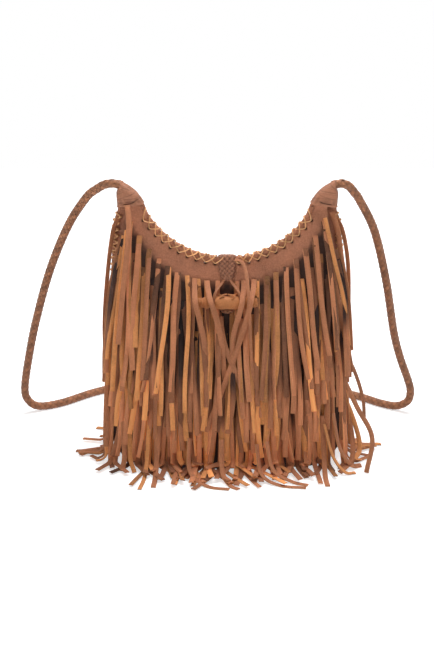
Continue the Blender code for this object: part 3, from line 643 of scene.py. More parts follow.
@dataclass
class Panel:
    """A front or back panel with its real lace holes and its rolled mouth edge."""

    shape: BagShape
    holes: LaceHoles
    side: Side
    columns: int = 400
    band: float = 0.0165
    band_rows: int = 28
    lower_rows: int = 34
    uneven: float = 0.0008
    ear_cut: float = 0.2880
    below_roll: float = 0.0016
    snap: float = 0.00045
    open_within: float = 0.93
    dimple: float = 0.0006
    dimple_reach: float = 0.0026
    hole_shade_reach: float = 0.0021
    tab_shade: tuple[float, float, float] = (0.1985, 0.0050, 0.0060)
    roll_radius: float = 0.0028
    roll_pinch: float = 0.42

    def grid(self) -> tuple[Array, Array]:
        """Places of the grid's points.

        A column joins a point of the top edge, spaced by length along the mouth and the ear, to
        one of the lower edge, and bends out to the panel's side by the eighth power of its share.

        Returns:
            x and z, each rows x columns, from the lower edge to the top.
        """
        shape = self.shape
        share = np.linspace(-1.0, 1.0, self.columns)
        arc = shape.mouth_radius * math.asin(shape.ear_inner / shape.mouth_radius)
        run = np.abs(share) * (arc + shape.ear_half_width - shape.ear_inner)
        on_arc = shape.mouth_radius * np.sin(np.minimum(run, arc) / shape.mouth_radius)
        top_x = np.sign(share) * (on_arc + np.maximum(run - arc, 0.0))
        arc_z = shape.mouth_height(top_x) - shape.edge_drop(self.side) - self.below_roll
        top_z = np.minimum(arc_z, self.ear_cut)
        low_x = share * shape.half_width
        low_z = shape.bottom_height(share)
        below = np.linspace(0.0, self.band / shape.mouth_low, self.band_rows)
        rest = np.linspace(below[-1], 1.0, self.lower_rows + 1)[1:]
        up = (1.0 - np.concatenate([below, rest]))[::-1, None]
        z = low_z + up * (top_z - low_z)
        line = low_x + up * (top_x - low_x)
        edge_line = shape.half_width + up * (shape.ear_half_width - shape.half_width)
        x = line + np.sign(share) * np.abs(share) ** 8 * (shape.edge_at(z, self.side) - edge_line)
        return x, z

    def sheet(self) -> Patch:
        """The panel's outer face, with each hole cut out and its rim made round.

        Points within snap of a hole's circle move onto it, and a face goes where its corners'
        mean distance from the hole's centre is under open_within times the radius. Painted
        shade darkens the rims of the holes, the panel under the fringe, and the front below the
        tab, where tab_shade gives the height and both half sizes.
        """
        shape, holes = self.shape, self.holes
        x, z = self.grid()
        angles = holes.angles(shape)
        reach = shape.mouth_radius + holes.inset + shape.edge_drop(self.side)
        centre = np.stack([reach * np.sin(angles), shape.mouth_centre - reach * np.cos(angles)], axis=-1)
        flat = np.stack([x, z], axis=-1)
        away = flat[..., None, :] - centre
        far = np.linalg.norm(away, axis=-1)
        near = np.argmin(far, axis=-1)
        pick = np.take_along_axis(far, near[..., None], axis=-1)[..., 0]
        offset = np.take_along_axis(away, near[..., None, None], axis=-2)[..., 0, :]
        close = np.abs(pick - holes.radius) < self.snap
        moved = centre[near] + offset * (holes.radius / np.maximum(pick, 1e-9))[..., None]
        flat = np.where(close[..., None], moved, flat)
        below_edge = shape.mouth_height(x) - z
        wave = self.uneven * soft_waves(x, z, 11 + self.side.value) * smooth_step(below_edge, 0.0, 0.02)
        pull = self.dimple * np.exp(-((pick / self.dimple_reach) ** 2))
        y = self.side.value * (shape.depth(flat[..., 0], flat[..., 1]) + wave - pull)
        points = np.stack([flat[..., 0], y, flat[..., 1]], axis=-1).reshape(-1, 3)
        faces = grid_faces(*x.shape)
        if self.side is Side.BACK:
            faces = faces[:, ::-1]
        inside = np.where(close, holes.radius, pick).reshape(-1)
        keep = inside[faces].mean(axis=1) > holes.radius * self.open_within
        rim = np.zeros(x.shape)
        rim[:, [0, -1]] = 1.0
        # Painted shade: dark round each hole and on the panel under the fringe.
        fringe_shadow_share = smooth_step(shape.row_height(x, 0) - z, -0.002, 0.009)
        hollow = np.maximum(0.95 * np.exp(-((pick / self.hole_shade_reach) ** 4)), 0.92 * fringe_shadow_share)
        if self.side is Side.FRONT:
            # Painted shadow below the tab.
            height, wide, tall = self.tab_shade
            tab_shadow_share = np.exp(-((x / wide) ** 4) - ((z - height) / tall) ** 4)
            hollow = np.maximum(hollow, 0.95 * tab_shadow_share)
        return Patch(points, [faces[keep]], {"cut": rim.reshape(-1), "hollow": hollow.reshape(-1)})

    def roll(self) -> Patch:
        """The rolled edge of the mouth: a tube along the arc, pinched where the laces cross it."""
        shape = self.shape
        ends = math.acos((shape.mouth_centre - self.ear_cut + 0.001) / shape.mouth_radius)
        angle = np.linspace(-ends, ends, 520)
        reach = shape.mouth_radius + 0.85 * self.roll_radius + shape.edge_drop(self.side)
        x = reach * np.sin(angle)
        z = shape.mouth_centre - reach * np.cos(angle)
        y = self.side.value * (shape.depth(x, z) - 0.5 * shape.leather)
        path = np.stack([x, y, z], axis=-1)
        phase = (angle - self.holes.angles(shape)[-1]) * math.pi / self.holes.step(shape)
        scallop = 1.0 - self.roll_pinch * np.sin(phase) ** 4
        ring = self.roll_radius * scallop[None, :]
        patch = tubes(path, np.array([0.0, 1.0, 0.0]), ring, 12)
        # Painted shade in the pinches where the laces cross the roll.
        patch.marks["hollow"] = 0.35 * np.repeat(np.sin(phase) ** 8, 12)
        return patch

    def build(self) -> None:
        """Make the panel and its rolled edge."""
        word = self.side.name.lower()
        finish = PANEL_LEATHER.material()
        nodes = (f"{word}_panel",)
        make_piece(f"{word}_panel_leather", [self.sheet()], finish, Slot.BROWN, nodes, self.shape.leather)
        make_piece(f"{word}_mouth_roll", [self.roll()], finish, Slot.BROWN)


@dataclass
class MouthLace:
    """Crossed lacing over the mouth's edge: two strands leave every hole."""

    shape: BagShape
    holes: LaceHoles
    side: Side
    radius: float = 0.00070
    spread: float = 0.90

    def routes(self) -> Array:
        """Control points of the strands.

        A strand starts inside its hole, climbs the outer face while it leans aside by spread
        hole pitches, passes over the roll, and ends inside the bag.

        Returns:
            strands x 8 x 3.
        """
        shape, holes = self.shape, self.holes
        rng = np.random.default_rng(5 + self.side.value)
        angles = np.repeat(holes.angles(shape), 2)
        lean = np.tile([-1.0, 1.0], len(angles) // 2) * self.spread * holes.step(shape)
        lean = lean * rng.uniform(0.85, 1.1, len(lean))
        depths = (holes.inset - 0.0004, holes.inset - 0.0008, 0.0058, 0.0034, 0.0012, -0.0007, 0.0012, 0.0050)
        drop = np.array(depths)
        skew = np.array([0.0, 0.04, 0.32, 0.58, 0.82, 1.0, 1.1, 1.2])
        skin = shape.leather
        stands = (-skin - 0.0006, 0.0006, 0.0008, 0.0014, 0.0022, -0.0007, -skin - 0.0022, -skin - 0.0012)
        lift = np.tile([0.0, 0.0008], len(angles) // 2)[:, None] * np.array([0, 0, 0.4, 1, 1, 1, 0, 0])
        angle = angles[:, None] + lean[:, None] * skew
        reach = shape.mouth_radius + drop - 0.3 * lift * (drop < 0.0) + shape.edge_drop(self.side)
        x = reach * np.sin(angle)
        z = shape.mouth_centre - reach * np.cos(angle)
        face = shape.depth(x, np.minimum(z, shape.mouth_height(x)))
        return np.stack([x, self.side.value * (face + np.array(stands) + lift), z], axis=-1)

    def build(self) -> None:
        """Make the lacing."""
        rng = np.random.default_rng(9)
        routes = self.routes()
        paths = curve_through(routes, 4)
        level = np.array([1.0, 0.0, 0.0])
        patch = tubes(paths, level, self.radius, 7, rng.normal(0.0, 0.5, len(paths)))
        word = self.side.name.lower()
        make_piece(f"{word}_mouth_lacing", [patch], LACE.material(), Slot.LACE, (f"mouth_lace_{word}",))


@dataclass
class Gusset:
    """The side and bottom strip, folded inwards below the ears, laced to the back panel."""

    shape: BagShape
    top: float = 0.2830
    fold: float = 0.0135
    fold_start: float = 0.120
    side_rows: int = 60
    across: int = 21
    lace_pitch: float = 0.0074
    lace_low: float = 0.150
    lace_radius: float = 0.00095
    wall: float = 0.0012

    def outline(self) -> tuple[Array, Array, Array]:
        """Edge of both panels from the left side, along the base, to the right.

        Returns:
            x by the front panel, x by the back panel, and the height.
        """
        shape = self.shape
        side_z = np.linspace(self.top, shape.corner_radius, self.side_rows)
        turn = np.linspace(0.0, math.pi / 2.0, 12)[1:]
        corner_x = shape.half_width - shape.corner_radius * (1.0 - np.cos(turn))
        corner_z = shape.corner_radius * (1.0 - np.sin(turn))
        base_x = np.linspace(shape.half_width - shape.corner_radius, 0.0, 14)[1:]
        z = np.concatenate([side_z, corner_z, np.zeros(len(base_x))])
        tail = np.concatenate([corner_x, base_x])
        edges = [np.concatenate([shape.edge_at(side_z, side), tail]) for side in (Side.FRONT, Side.BACK)]
        front, back = (np.concatenate([-x, x[-2::-1]]) for x in edges)
        return front, back, np.concatenate([z, z[-2::-1]])

    def surface(self) -> Array:
        """Points of the strip: straight between the panels' edges, less a parabola of fold."""
        front, back, z = self.outline()
        share = np.linspace(0.0, 1.0, self.across)[None, :]
        middle = 0.5 * (front + back)
        normal = unit(np.stack([-np.gradient(z), np.gradient(middle)], axis=-1))
        rise = smooth_step(z, self.fold_start, self.top)
        sink = (self.fold * rise)[:, None] * (1.0 - (2.0 * share - 1.0) ** 2)
        crumple = 0.0006 * np.sin(z / 0.004 + 9.0 * share[0, :, None]).T * rise[:, None]
        x = front[:, None] * (1.0 - share) + back[:, None] * share + normal[:, :1] * (sink + crumple)
        height = z[:, None] + normal[:, 1:] * sink
        room = self.shape.depth(x, height) - self.shape.leather - 0.0003
        return np.stack([x, (2.0 * share - 1.0) * room, height], axis=-1)

    def laces(self) -> Patch:
        """Zigzag strands over the back rim on both sides, two from each hole."""
        rng = np.random.default_rng(21)
        count = int((self.top - 0.001 - self.lace_low) / self.lace_pitch)
        z = self.lace_low + self.lace_pitch * (np.arange(count) + 0.5)
        z = np.repeat(z, 2)
        lean = np.tile([-0.5, 0.5], count) * self.lace_pitch * rng.uniform(0.8, 1.15, 2 * count)
        skew = np.array([0.0, 0.0, 0.6, 1.0, 1.2])
        inward = np.array([0.0066, 0.0060, 0.0026, -0.0009, 0.0035])
        ahead = np.array([-0.0022, -0.0044, -0.0040, -0.0006, 0.0010])
        height = z[:, None] + lean[:, None] * skew
        edge = self.shape.edge_at(height, Side.BACK)
        strands = []
        for side in (-1.0, 1.0):
            x = side * (edge - inward)
            y = self.shape.depth(x, height) + ahead - inward * 0.35
            strands.append(np.stack([x, y, height], axis=-1))
        paths = curve_through(np.concatenate(strands), 4)
        return tubes(paths, np.array([0.0, 0.0, 1.0]), self.lace_radius, 6, rng.normal(0.0, 0.5, len(paths)))

    def build(self) -> None:
        """Make the strip and its side lacing."""
        points = self.surface()
        share = np.linspace(-1.0, 1.0, self.across)
        # Painted shade in the inward fold of the upper strip, strongest a little in front of its middle.
        rise = smooth_step(points[..., 2], self.fold_start, self.fold_start + 0.06)
        hollow = 0.92 * rise * np.clip(1.3 - np.abs(share + 0.1) * 1.5, 0.0, 1.0)
        patch = Patch(points.reshape(-1, 3), [grid_faces(*points.shape[:2])], {"hollow": hollow.reshape(-1)})
        make_piece("gusset_leather", [patch], PANEL_LEATHER.material(), Slot.BROWN, ("gusset",), self.wall)
        make_piece("side_lacing", [self.laces()], LACE.material(), Slot.LACE)


@dataclass
class Lining:
    """The black cloth pouch inside the bag."""

    shape: BagShape
    inset: float = 0.0155
    drop: float = 0.014
    clear: float = 0.0026
    flat: tuple[float, float] = (0.270, 0.480)
    area: float = 0.1270
    wall: float = 0.0005
    columns: int = 96
    rows: int = 48

    def surface(self) -> Array:
        """Rings that follow the panels a little inside them, closed to a line at the base.

        A ring is a squarish loop: the cosine and sine of its turn, each to the power 0.5. Its
        folds are small waves that grow towards the mouth.
        """
        shape = self.shape
        turn = np.arange(self.columns) * 2.0 * math.pi / self.columns
        across = np.sign(np.cos(turn)) * np.abs(np.cos(turn)) ** 0.5
        towards = np.sign(np.sin(turn)) * np.abs(np.sin(turn)) ** 0.5
        up = np.linspace(0.0, 1.0, self.rows)[:, None]
        x = across[None, :] * (shape.width_at(0.05 + 0.2 * up) - self.inset)
        low = shape.bottom_height(np.abs(x) / shape.half_width) + 0.003
        z = low + up * (shape.mouth_height(x) - self.drop - low)
        room = shape.depth(x, z) - shape.leather - self.clear
        fold = 1.0 - 0.10 * up * (0.5 + 0.5 * np.sin(17.0 * turn[None, :]))
        closing = np.minimum(1.0, 0.02 + up * 12.0)
        return np.stack([x, towards[None, :] * room * fold * closing, z], axis=-1)

    def build(self) -> None:
        """Make the pouch."""
        points = self.surface()
        rows, columns = points.shape[:2]
        first = np.arange(rows - 1)[:, None] * columns + np.arange(columns)[None, :]
        after = np.arange(rows - 1)[:, None] * columns + (np.arange(columns)[None, :] + 1) % columns
        faces = np.stack([first, after, after + columns, first + columns], axis=-1).reshape(-1, 4)
        half = columns // 2
        k = np.arange(1, half - 1)
        floor = np.stack([k, columns - k, columns - k - 1, k + 1], axis=-1)
        tips = np.array([[0, columns - 1, 1], [half, half - 1, half + 1]])
        patch = Patch(points.reshape(-1, 3), [faces, floor, tips])
        pouch = make_piece("lining_pouch", [patch], LINING.material(), Slot.LINING, ("lining",), self.wall)


# Strap and ear caps


def flat_strands(
    paths: Array, across: Array, strand: tuple[float, float], shade: Array, edge_shade: float
) -> Patch:
    """Flat oval strands along paths, with painted shade by each sample's shade and towards both edges.

    Args:
        paths: strands x samples x 3.
        across: direction of the width at each sample.
        strand: width and thickness.
        shade: painted shade of each sample, strands x samples.
        edge_shade: painted shade that the edges add to it.

    Returns:
        The strands, marked with their painted shade.
    """
    points = sweep(paths, across, round_section(strand[0] / 2.0, 8, strand[1] / strand[0]))
    edge = np.abs(np.cos(np.arange(8) * math.pi / 4.0)) ** 3
    # Painted shade: the given shade plus darker edges.
    hollow = np.clip(shade[..., None] + edge_shade * edge, 0.0, 1.0)
    return Patch(points.reshape(-1, 3), tube_faces(*points.shape[:3]), {"hollow": hollow.reshape(-1)})


def braid(
    path: Array, reference: Array, radius: float, lift: float, strand: tuple[float, float], plait: float,
    each_way: int, seed: int,
) -> Patch:
    """A round braid along a path.

    A strand is a helix of angle +-w s + 2 pi k / n about the path, with w = pi / (n plait), and
    its distance from the path is radius +- lift cos(pi s / plait), so that the two hands pass
    over and under each other in turn.

    Args:
        path: evenly spaced points of the centre line.
        reference: a direction that the path never runs along.
        radius: mean distance of the strands from the path.
        lift: how far a strand rises and dips.
        strand: width and thickness of a strand.
        plait: distance along the path from one crossing to the next.
        each_way: strands of each hand.
        seed: for the strands' tones.

    Returns:
        The strands round a plain core; the core is painted dark as shade, and each strand carries painted
        shade where it passes under and at its edges.
    """
    along = unit(np.gradient(path, axis=0))
    first = unit(np.cross(along, reference))
    second = np.cross(along, first)
    run = run_along(path)
    rate = math.pi / (each_way * plait)
    hand = np.repeat([1.0, -1.0], each_way)[:, None]
    start = np.tile(np.arange(each_way) * 2.0 * math.pi / each_way, 2)[:, None]
    angle = hand * rate * run + start
    wave = hand * np.cos(math.pi * run / plait)
    spoke = np.cos(angle)[..., None] * first + np.sin(angle)[..., None] * second
    centre = path + (radius + lift * wave)[..., None] * spoke
    tangent = unit(np.gradient(centre, axis=-2))
    # Painted shade where a strand dips under the other hand, and at its edges.
    strands = flat_strands(centre, np.cross(spoke, tangent), strand, 0.42 * (0.5 - 0.5 * wave), 0.30)
    tones = np.random.default_rng(seed).normal(0.0, 0.35, 2 * each_way)
    strands.marks["tone"] = np.repeat(tones, len(strands.points) // len(tones))
    core = tubes(path[::3], reference, radius - 0.4 * strand[1], 12)
    # Painted shade: the core, seen between the strands, is painted dark.
    core.marks["hollow"] = np.full(len(core.points), 0.9)
    return Patch.join([strands, core])


@dataclass(frozen=True)
class Tip:
    """Where the strap leaves a cap: distance from the middle, height, and tilt from upright."""

    out: float = 0.1155
    height: float = 0.3080
    tilt: float = math.radians(80.0)


@dataclass
class ShoulderStrap:
    """The long braided cord from ear to ear, resting on the floor behind the bag."""

    tip: Tip = Tip()
    diameter: float = 0.0090
    gap: float = 0.0003
    stub: float = 0.0070
    tucked: float = 0.0025
    plait: float = 0.0036
    lift: float = 0.00040
    strand: tuple[float, float] = (0.0046, 0.0012)
    strand_reach: float = 0.00382
    each_way: int = 4
    seed: int = 3
    route: tuple[tuple[float, float, float], ...] = (
        (-0.1310, 0.0045, 0.3070), (-0.1400, 0.0110, 0.3010), (-0.1532, 0.0195, 0.2886),
        (-0.1753, 0.0363, 0.2530), (-0.1995, 0.0596, 0.1959), (-0.2199, 0.0840, 0.1300),
        (-0.2330, 0.1020, 0.0760), (-0.2405, 0.1135, 0.0340), (-0.2375, 0.1185, 0.0165),
        (-0.2255, 0.1260, 0.0062), (-0.1994, 0.1420, 0.0046), (-0.1602, 0.1800, 0.0046),
        (-0.1150, 0.2070, 0.0046), (-0.0550, 0.2220, 0.0046), (0.0150, 0.2220, 0.0046),
        (0.0750, 0.2110, 0.0046), (0.1250, 0.1880, 0.0046), (0.1603, 0.1660, 0.0046),
        (0.1880, 0.1400, 0.0046), (0.2060, 0.1270, 0.0062), (0.2180, 0.1195, 0.0150),
        (0.2205, 0.1155, 0.0290), (0.2165, 0.1110, 0.0450), (0.2045, 0.1010, 0.0780),
        (0.1944, 0.0875, 0.1140), (0.1802, 0.0601, 0.1840), (0.1627, 0.0347, 0.2478),
        (0.1435, 0.0170, 0.2870), (0.1375, 0.0115, 0.2960), (0.1305, 0.0050, 0.3050),
    )

    def path(self) -> Array:
        """Even points from the left cap to the right one, straight where it leaves a cap."""
        leave = np.array([math.sin(self.tip.tilt), 0.0, math.cos(self.tip.tilt)])
        mirror = np.array([-1.0, 1.0, 1.0])
        tip = np.array([self.tip.out, 0.0, self.tip.height])
        stub = tip + (self.gap + self.stub) * leave
        inside = tip - self.tucked * leave
        line = curve_through(np.vstack([stub * mirror, self.route, stub]), 24)
        return even_line(np.vstack([inside * mirror, line, inside]), self.plait / 3.0)

    def build(self) -> None:
        path = self.path()
        spread = path - path.mean(axis=0)
        flattest = np.linalg.svd(spread, full_matrices=False)[2][-1]
        patch = braid(
            path, flattest, self.strand_reach, self.lift, self.strand, self.plait, self.each_way, self.seed
        )
        finish = STRAP_LEATHER.material()
        piece = make_piece("braided_strap", [patch], finish, Slot.STRAP, ("shoulder_strap",))


@dataclass
class EarCap:
    """A wrapped leather cap over an ear, creased round, that narrows to the strap."""

    word: str
    side: float
    tip: Tip = Tip()
    wall: float = 0.0011
    tip_radius: float = 0.00515
    corners: int = 72
    seed: int = 1

    def rings(self) -> Array:
        """Rings from rim to tip: x and z of the inner end, of the outer end, thickness, squareness."""
        lean = self.tip_radius * np.array([math.cos(self.tip.tilt), -math.sin(self.tip.tilt)])
        tip = np.array([self.tip.out, self.tip.height])
        keys = np.array([
            (0.0896, 0.2884, 0.1180, 0.2845, 0.0112, 3.4),
            (0.0912, 0.2922, 0.1183, 0.2882, 0.0110, 3.3),
            (0.0942, 0.2964, 0.1186, 0.2922, 0.0104, 3.1),
            (0.0976, 0.3005, 0.1188, 0.2958, 0.0096, 2.8),
            (0.1012, 0.3040, 0.1188, 0.2990, 0.0086, 2.5),
            (0.1052, 0.3070, 0.1184, 0.3012, 0.0074, 2.3),
            (0.1098, 0.3098, 0.1176, 0.3028, 0.0062, 2.1),
            (*(tip - lean), *(tip + lean), self.tip_radius, 2.0),
        ])
        return curve_through(keys, 12)

    def surface(self) -> tuple[Array, Array]:
        """Points of the cap and its painted shade, darkest in the creases, gathers and slit.

        A ring is a superellipse. Wrap creases are narrow dips along rings that rise and fall
        with the turn, gathers are upright flutes that fade above the rim, and the slit is a
        dip across the front just above the rim.
        """
        rings = self.rings()
        rng = np.random.default_rng(self.seed)
        turn = np.arange(self.corners) * 2.0 * math.pi / self.corners
        up = np.linspace(0.0, 1.0, len(rings))[:, None]
        inner_x, inner_z, outer_x, outer_z, thick, power = (rings[:, k : k + 1] for k in range(6))
        across = np.sign(np.cos(turn)) * np.abs(np.cos(turn)) ** (2.0 / power)
        along = np.sign(np.sin(turn)) * np.abs(np.sin(turn)) ** (2.0 / power)
        crease = np.zeros((len(rings), self.corners))
        for level in np.linspace(0.24, 0.92, 9):
            height = level + 0.07 * np.sin(turn + rng.uniform(0.0, 6.3)) + rng.uniform(-0.02, 0.02)
            crease += rng.uniform(0.3, 0.9) * np.exp(-(((up - height) / 0.014) ** 2))
        crease = np.clip(crease, 0.0, 1.0)
        flute = 0.5 + 0.5 * np.cos(11.0 * turn + 1.4 * np.sin(turn))
        gather = smooth_step(up, 0.02, 0.12) * (1.0 - smooth_step(up, 0.14, 0.40)) * flute
        front = smooth_step(-np.sin(turn), 0.90, 0.985)
        line = 0.120 + 0.03 * np.cos(3.0 * turn) + 0.012 * np.sin(9.0 * turn)
        slit = front * np.exp(-(((up - line) / 0.022) ** 2)) * (0.75 + 0.25 * np.sin(13.0 * turn))
        size = 1.0 - 0.025 * crease - 0.05 * gather - 0.12 * slit + 0.03 * np.exp(-((up / 0.04) ** 2))
        x = 0.5 * (inner_x + outer_x) + 0.5 * (outer_x - inner_x) * across * size
        z = 0.5 * (inner_z + outer_z) + 0.5 * (outer_z - inner_z) * across * size
        points = np.stack([self.side * x, thick * along * size, z], axis=-1)
        # Painted shade: the creases, gathers and slit are darkened.
        return points, np.clip(0.45 * crease + 0.30 * gather + slit, 0.0, 1.0)

    def build(self) -> None:
        """Make the cap with its turned-in tip."""
        points, hollow = self.surface()
        inner = points[-1:] * 1.0
        centre = inner.mean(axis=1, keepdims=True)
        points = np.concatenate([points, centre + 0.55 * (inner - centre)])
        # Painted shade: the turned-in tip is fully dark.
        hollow = np.concatenate([hollow, np.ones((1, self.corners))])
        rings = len(points)
        walls = tube_faces(1, rings, self.corners)[0]
        if self.side > 0:
            walls = walls[:, ::-1]
        patch = Patch(points.reshape(-1, 3), [walls[:, ::-1]], {"hollow": hollow.reshape(-1)})
        name, nodes = f"{self.word}_cap_leather", (f"{self.word}_ear_cap",)
        make_piece(name, [patch], CAP_LEATHER.material(), Slot.BROWN, nodes, self.wall)


# Fringe


@dataclass
class FringeRow:
    """One row of strips, each pulled through a slit so that two tails hang from it.

    One generator draws a row's random numbers, in the order in which patch calls the steps.
    """

    shape: BagShape
    side: Side
    row: int
    strip: Strip = field(default_factory=Strip)
    pitch: float = 0.0103
    length: float = 0.131
    uneven: float = 0.085
    under_trim: float = 0.006
    last_trim: float = 0.022
    corner_extra: tuple[float, ...] = (0.0, 0.0, 0.0, 0.010, 0.030, 0.042)
    stand: float = 0.0015
    layer: float = 0.0028
    lead: float = 0.25
    band: float = 0.004
    sways: tuple[tuple[float, float, float], ...] = ((0.0050, 0.016, 1.4), (0.0035, 0.009, 2.0))
    strays: tuple[float, float, float] = (0.0024, 0.0014, 0.0008)
    under_aside: float = 0.0030
    tuck: float = 0.0022
    puff: float = 0.0022
    puff_at: float = 0.006
    under_sink: float = 0.0010
    reach: float = 0.1165
    beside_tab: float = 0.0090
    side_lean: float = 0.0080
    side_start: float = 0.1260
    side_room: float = 0.0110
    bends: tuple[float, float] = (0.0115, 0.0150)
    floor_swing: float = 0.42
    wild_share: float = 0.16
    flesh_share: float = 0.21
    flesh_left: float = 0.15
    samples: int = 36

    @property
    def share(self) -> Array:
        """Share of a tail's length at each sample, as one row."""
        return np.linspace(0.0, 1.0, self.samples)[None, :]

    def centres(self) -> Array:
        """Places of the slits along X, half a pitch aside on every second row."""
        reach = (self.shape.row_reach if self.row == 0 else self.reach) - self.strip.width / 2.0
        aside = 0.5 * (self.row % 2)
        count = 2 * int(reach / self.pitch + aside) + 1 - self.row % 2
        centres = (np.arange(count) - (count - 1) / 2.0) * self.pitch
        return centres[np.abs(centres) > self.beside_tab] if self.row == 0 else centres

    def fall(self, x: Array, top: Array, run: Array, stand: Array, bend: Array) -> tuple[Array, Array]:
        """Follow strips down the panel, round a quarter bend and along the floor.

        Args:
            x: place along X.
            top: height of the slit.
            run: length from the slit.
            stand: distance from the panel.
            bend: radius of the bend at the floor.

        Returns:
            Distance in front of the middle plane, and height.
        """
        drop = top - bend
        angle = np.clip((run - drop) / bend, 0.0, math.pi / 2.0)
        on_floor = np.maximum(run - drop - bend * math.pi / 2.0, 0.0)
        hang_z = top - np.minimum(run, drop)
        hang_out = self.shape.depth(x, hang_z) + stand
        reach = bend - stand
        bent_out = self.shape.depth(x, bend) + bend - reach * np.cos(angle) + on_floor
        bent_z = bend - reach * np.sin(angle)
        hanging = run <= drop
        return np.where(hanging, hang_out, bent_out), np.where(hanging, hang_z, bent_z)

    def lengths(self, rng: np.random.Generator, centres: Array, under: Array) -> Array:
        """Length of each tail: uneven, shorter amid the last row, longer towards the corners."""
        length = self.length * (1.0 + rng.uniform(-self.uneven, self.uneven, len(centres)))
        length = length - self.under_trim * under
        if self.row == self.shape.rows - 1:
            length = length - self.last_trim * (1.0 - (centres / self.reach) ** 2)
        corner = np.clip((np.abs(centres) - 0.045) / 0.060, 0.0, 1.0)
        return length + corner * self.corner_extra[self.row]

    def drift(self, rng: np.random.Generator, place: Array, aside: Array, run: Array) -> Array:
        """How far each tail strays along X.

        Neighbours share two sine waves of their place, given in sways by height, reach and the
        power of the tail's share. Each tail adds its own lean, bow and double bow, which grow
        row by row, and tails near the bag's sides lean outwards.

        Args:
            rng: the row's generator.
            place: place of the slit along X, as a column.
            aside: how far an under tail shows beside its upper one, as a column.
            run: length from the slit.

        Returns:
            The stray at each sample.
        """
        share = self.share
        phases = rng.uniform(0.0, 2.0 * math.pi, 3)
        loose = 1.0 + 0.22 * self.row
        drift = aside * smooth_step(run, 0.006, 0.040)
        for (height, reach, power), phase in zip(self.sways, phases):
            drift = drift + height * np.sin(place / reach + phase) * share**power
        waves = (share**1.2, np.sin(math.pi * share), np.sin(2.0 * math.pi * share))
        for stray, wave in zip(self.strays, waves):
            drift = drift + loose * rng.normal(0.0, stray, len(place))[:, None] * wave
        outward = np.clip((np.abs(place) - 0.040) / 0.074, 0.0, 1.0) ** 1.5
        return drift + np.sign(place) * self.side_lean * outward * share**0.8

    def held_in(self, x: Array) -> Array:
        """Bring places beyond side_start back, so that none passes it by more than side_room."""
        over = np.maximum(np.abs(x) - self.side_start, 0.0)
        return x - np.sign(x) * (over - over / (1.0 + over / self.side_room))

    def layers(self, rng: np.random.Generator, below: Array, run: Array) -> Array:
        """Layers between a tail and the panel.

        One for each lower row beneath it, reached by two straight ramps, plus a height of its
        own and a slow wave.
        """
        count, spacing = len(run), self.shape.row_spacing
        layers = np.minimum(2.0 * (below - self.band) / spacing, below / spacing + self.lead)
        layers = np.clip(layers, 0.0, self.shape.rows - 1 - self.row)
        layers = layers + rng.uniform(0.0, 1.1, count)[:, None] * smooth_step(run, 0.008, 0.045)
        wave = rng.normal(0.0, 0.35, count)[:, None] * np.sin(2.5 * math.pi * self.share)
        return np.maximum(layers + wave * smooth_step(run, 0.0, 0.03), 0.0)

    def stands(self, layers: Array, under: Array, run: Array) -> Array:
        """Distance off the panel: out of the slit, over a puff at its mouth, then by layers."""
        tuck = -self.tuck * (1.0 - smooth_step(run, 0.0, self.tuck))
        puff = self.puff * np.exp(-(((run - self.puff_at) / self.puff_at) ** 2))
        stand = self.stand + self.layer * layers + 0.5 * self.strip.thickness + tuck + puff
        return stand - under[:, None] * self.under_sink * smooth_step(run, 0.004, 0.012) * (layers > 0.4)

    def twists(self, rng: np.random.Generator, run: Array, z: Array) -> Array:
        """Turn of each tail: a turn, a bow and a wild turn of a few; little at slit and floor."""
        share, count = self.share, len(run)
        twist = rng.normal(0.0, 0.30, count)[:, None] * share**0.7
        twist = twist + rng.normal(0.0, 0.22, count)[:, None] * np.sin(math.pi * share)
        wild = (rng.random(count) < self.wild_share)[:, None]
        twist = twist + wild * rng.uniform(-0.9, 0.9, count)[:, None] * share**1.5
        return twist * smooth_step(run, 0.0, 0.03) * (1.0 - 0.85 * smooth_step(-z, -0.012, -0.003))

    def painted_light_tone(self, run: Array, z: Array) -> Array:
        """Painted light: tone that a tail gains below the slit, more in the lower rows, and loses again on
        the floor.
        """
        return (0.50 + 0.24 * self.row) * smooth_step(run, 0.03, 0.09) * smooth_step(z, 0.001, 0.014)

    def shade(
        self, rng: np.random.Generator, run: Array, under: Array, flesh: Array, out: Array, z: Array
    ) -> Array:
        """The painted shade of each sample.

        It is painted shade where the row above covers this one, along an under tail by exp(-run / 0.11),
        and on the floor close to the bag. Flesh sides take 0.6 of it.
        """
        covered = 1.0 - smooth_step(run, 0.086 - 0.011 * self.row, 0.120 - 0.014 * self.row)
        shade = 0.66 * rng.uniform(0.55, 1.15, len(run))[:, None] * covered * (self.row > 0)
        shade = (shade + 0.50 * under[:, None] * np.exp(-run / 0.11)) * (1.0 - 0.4 * flesh[:, None])
        on_floor = (1.0 - smooth_step(z, 0.002, 0.010)) * (1.0 - smooth_step(out, 0.082, 0.094))
        return np.clip(shade + 0.20 * on_floor, 0.0, 1.0)

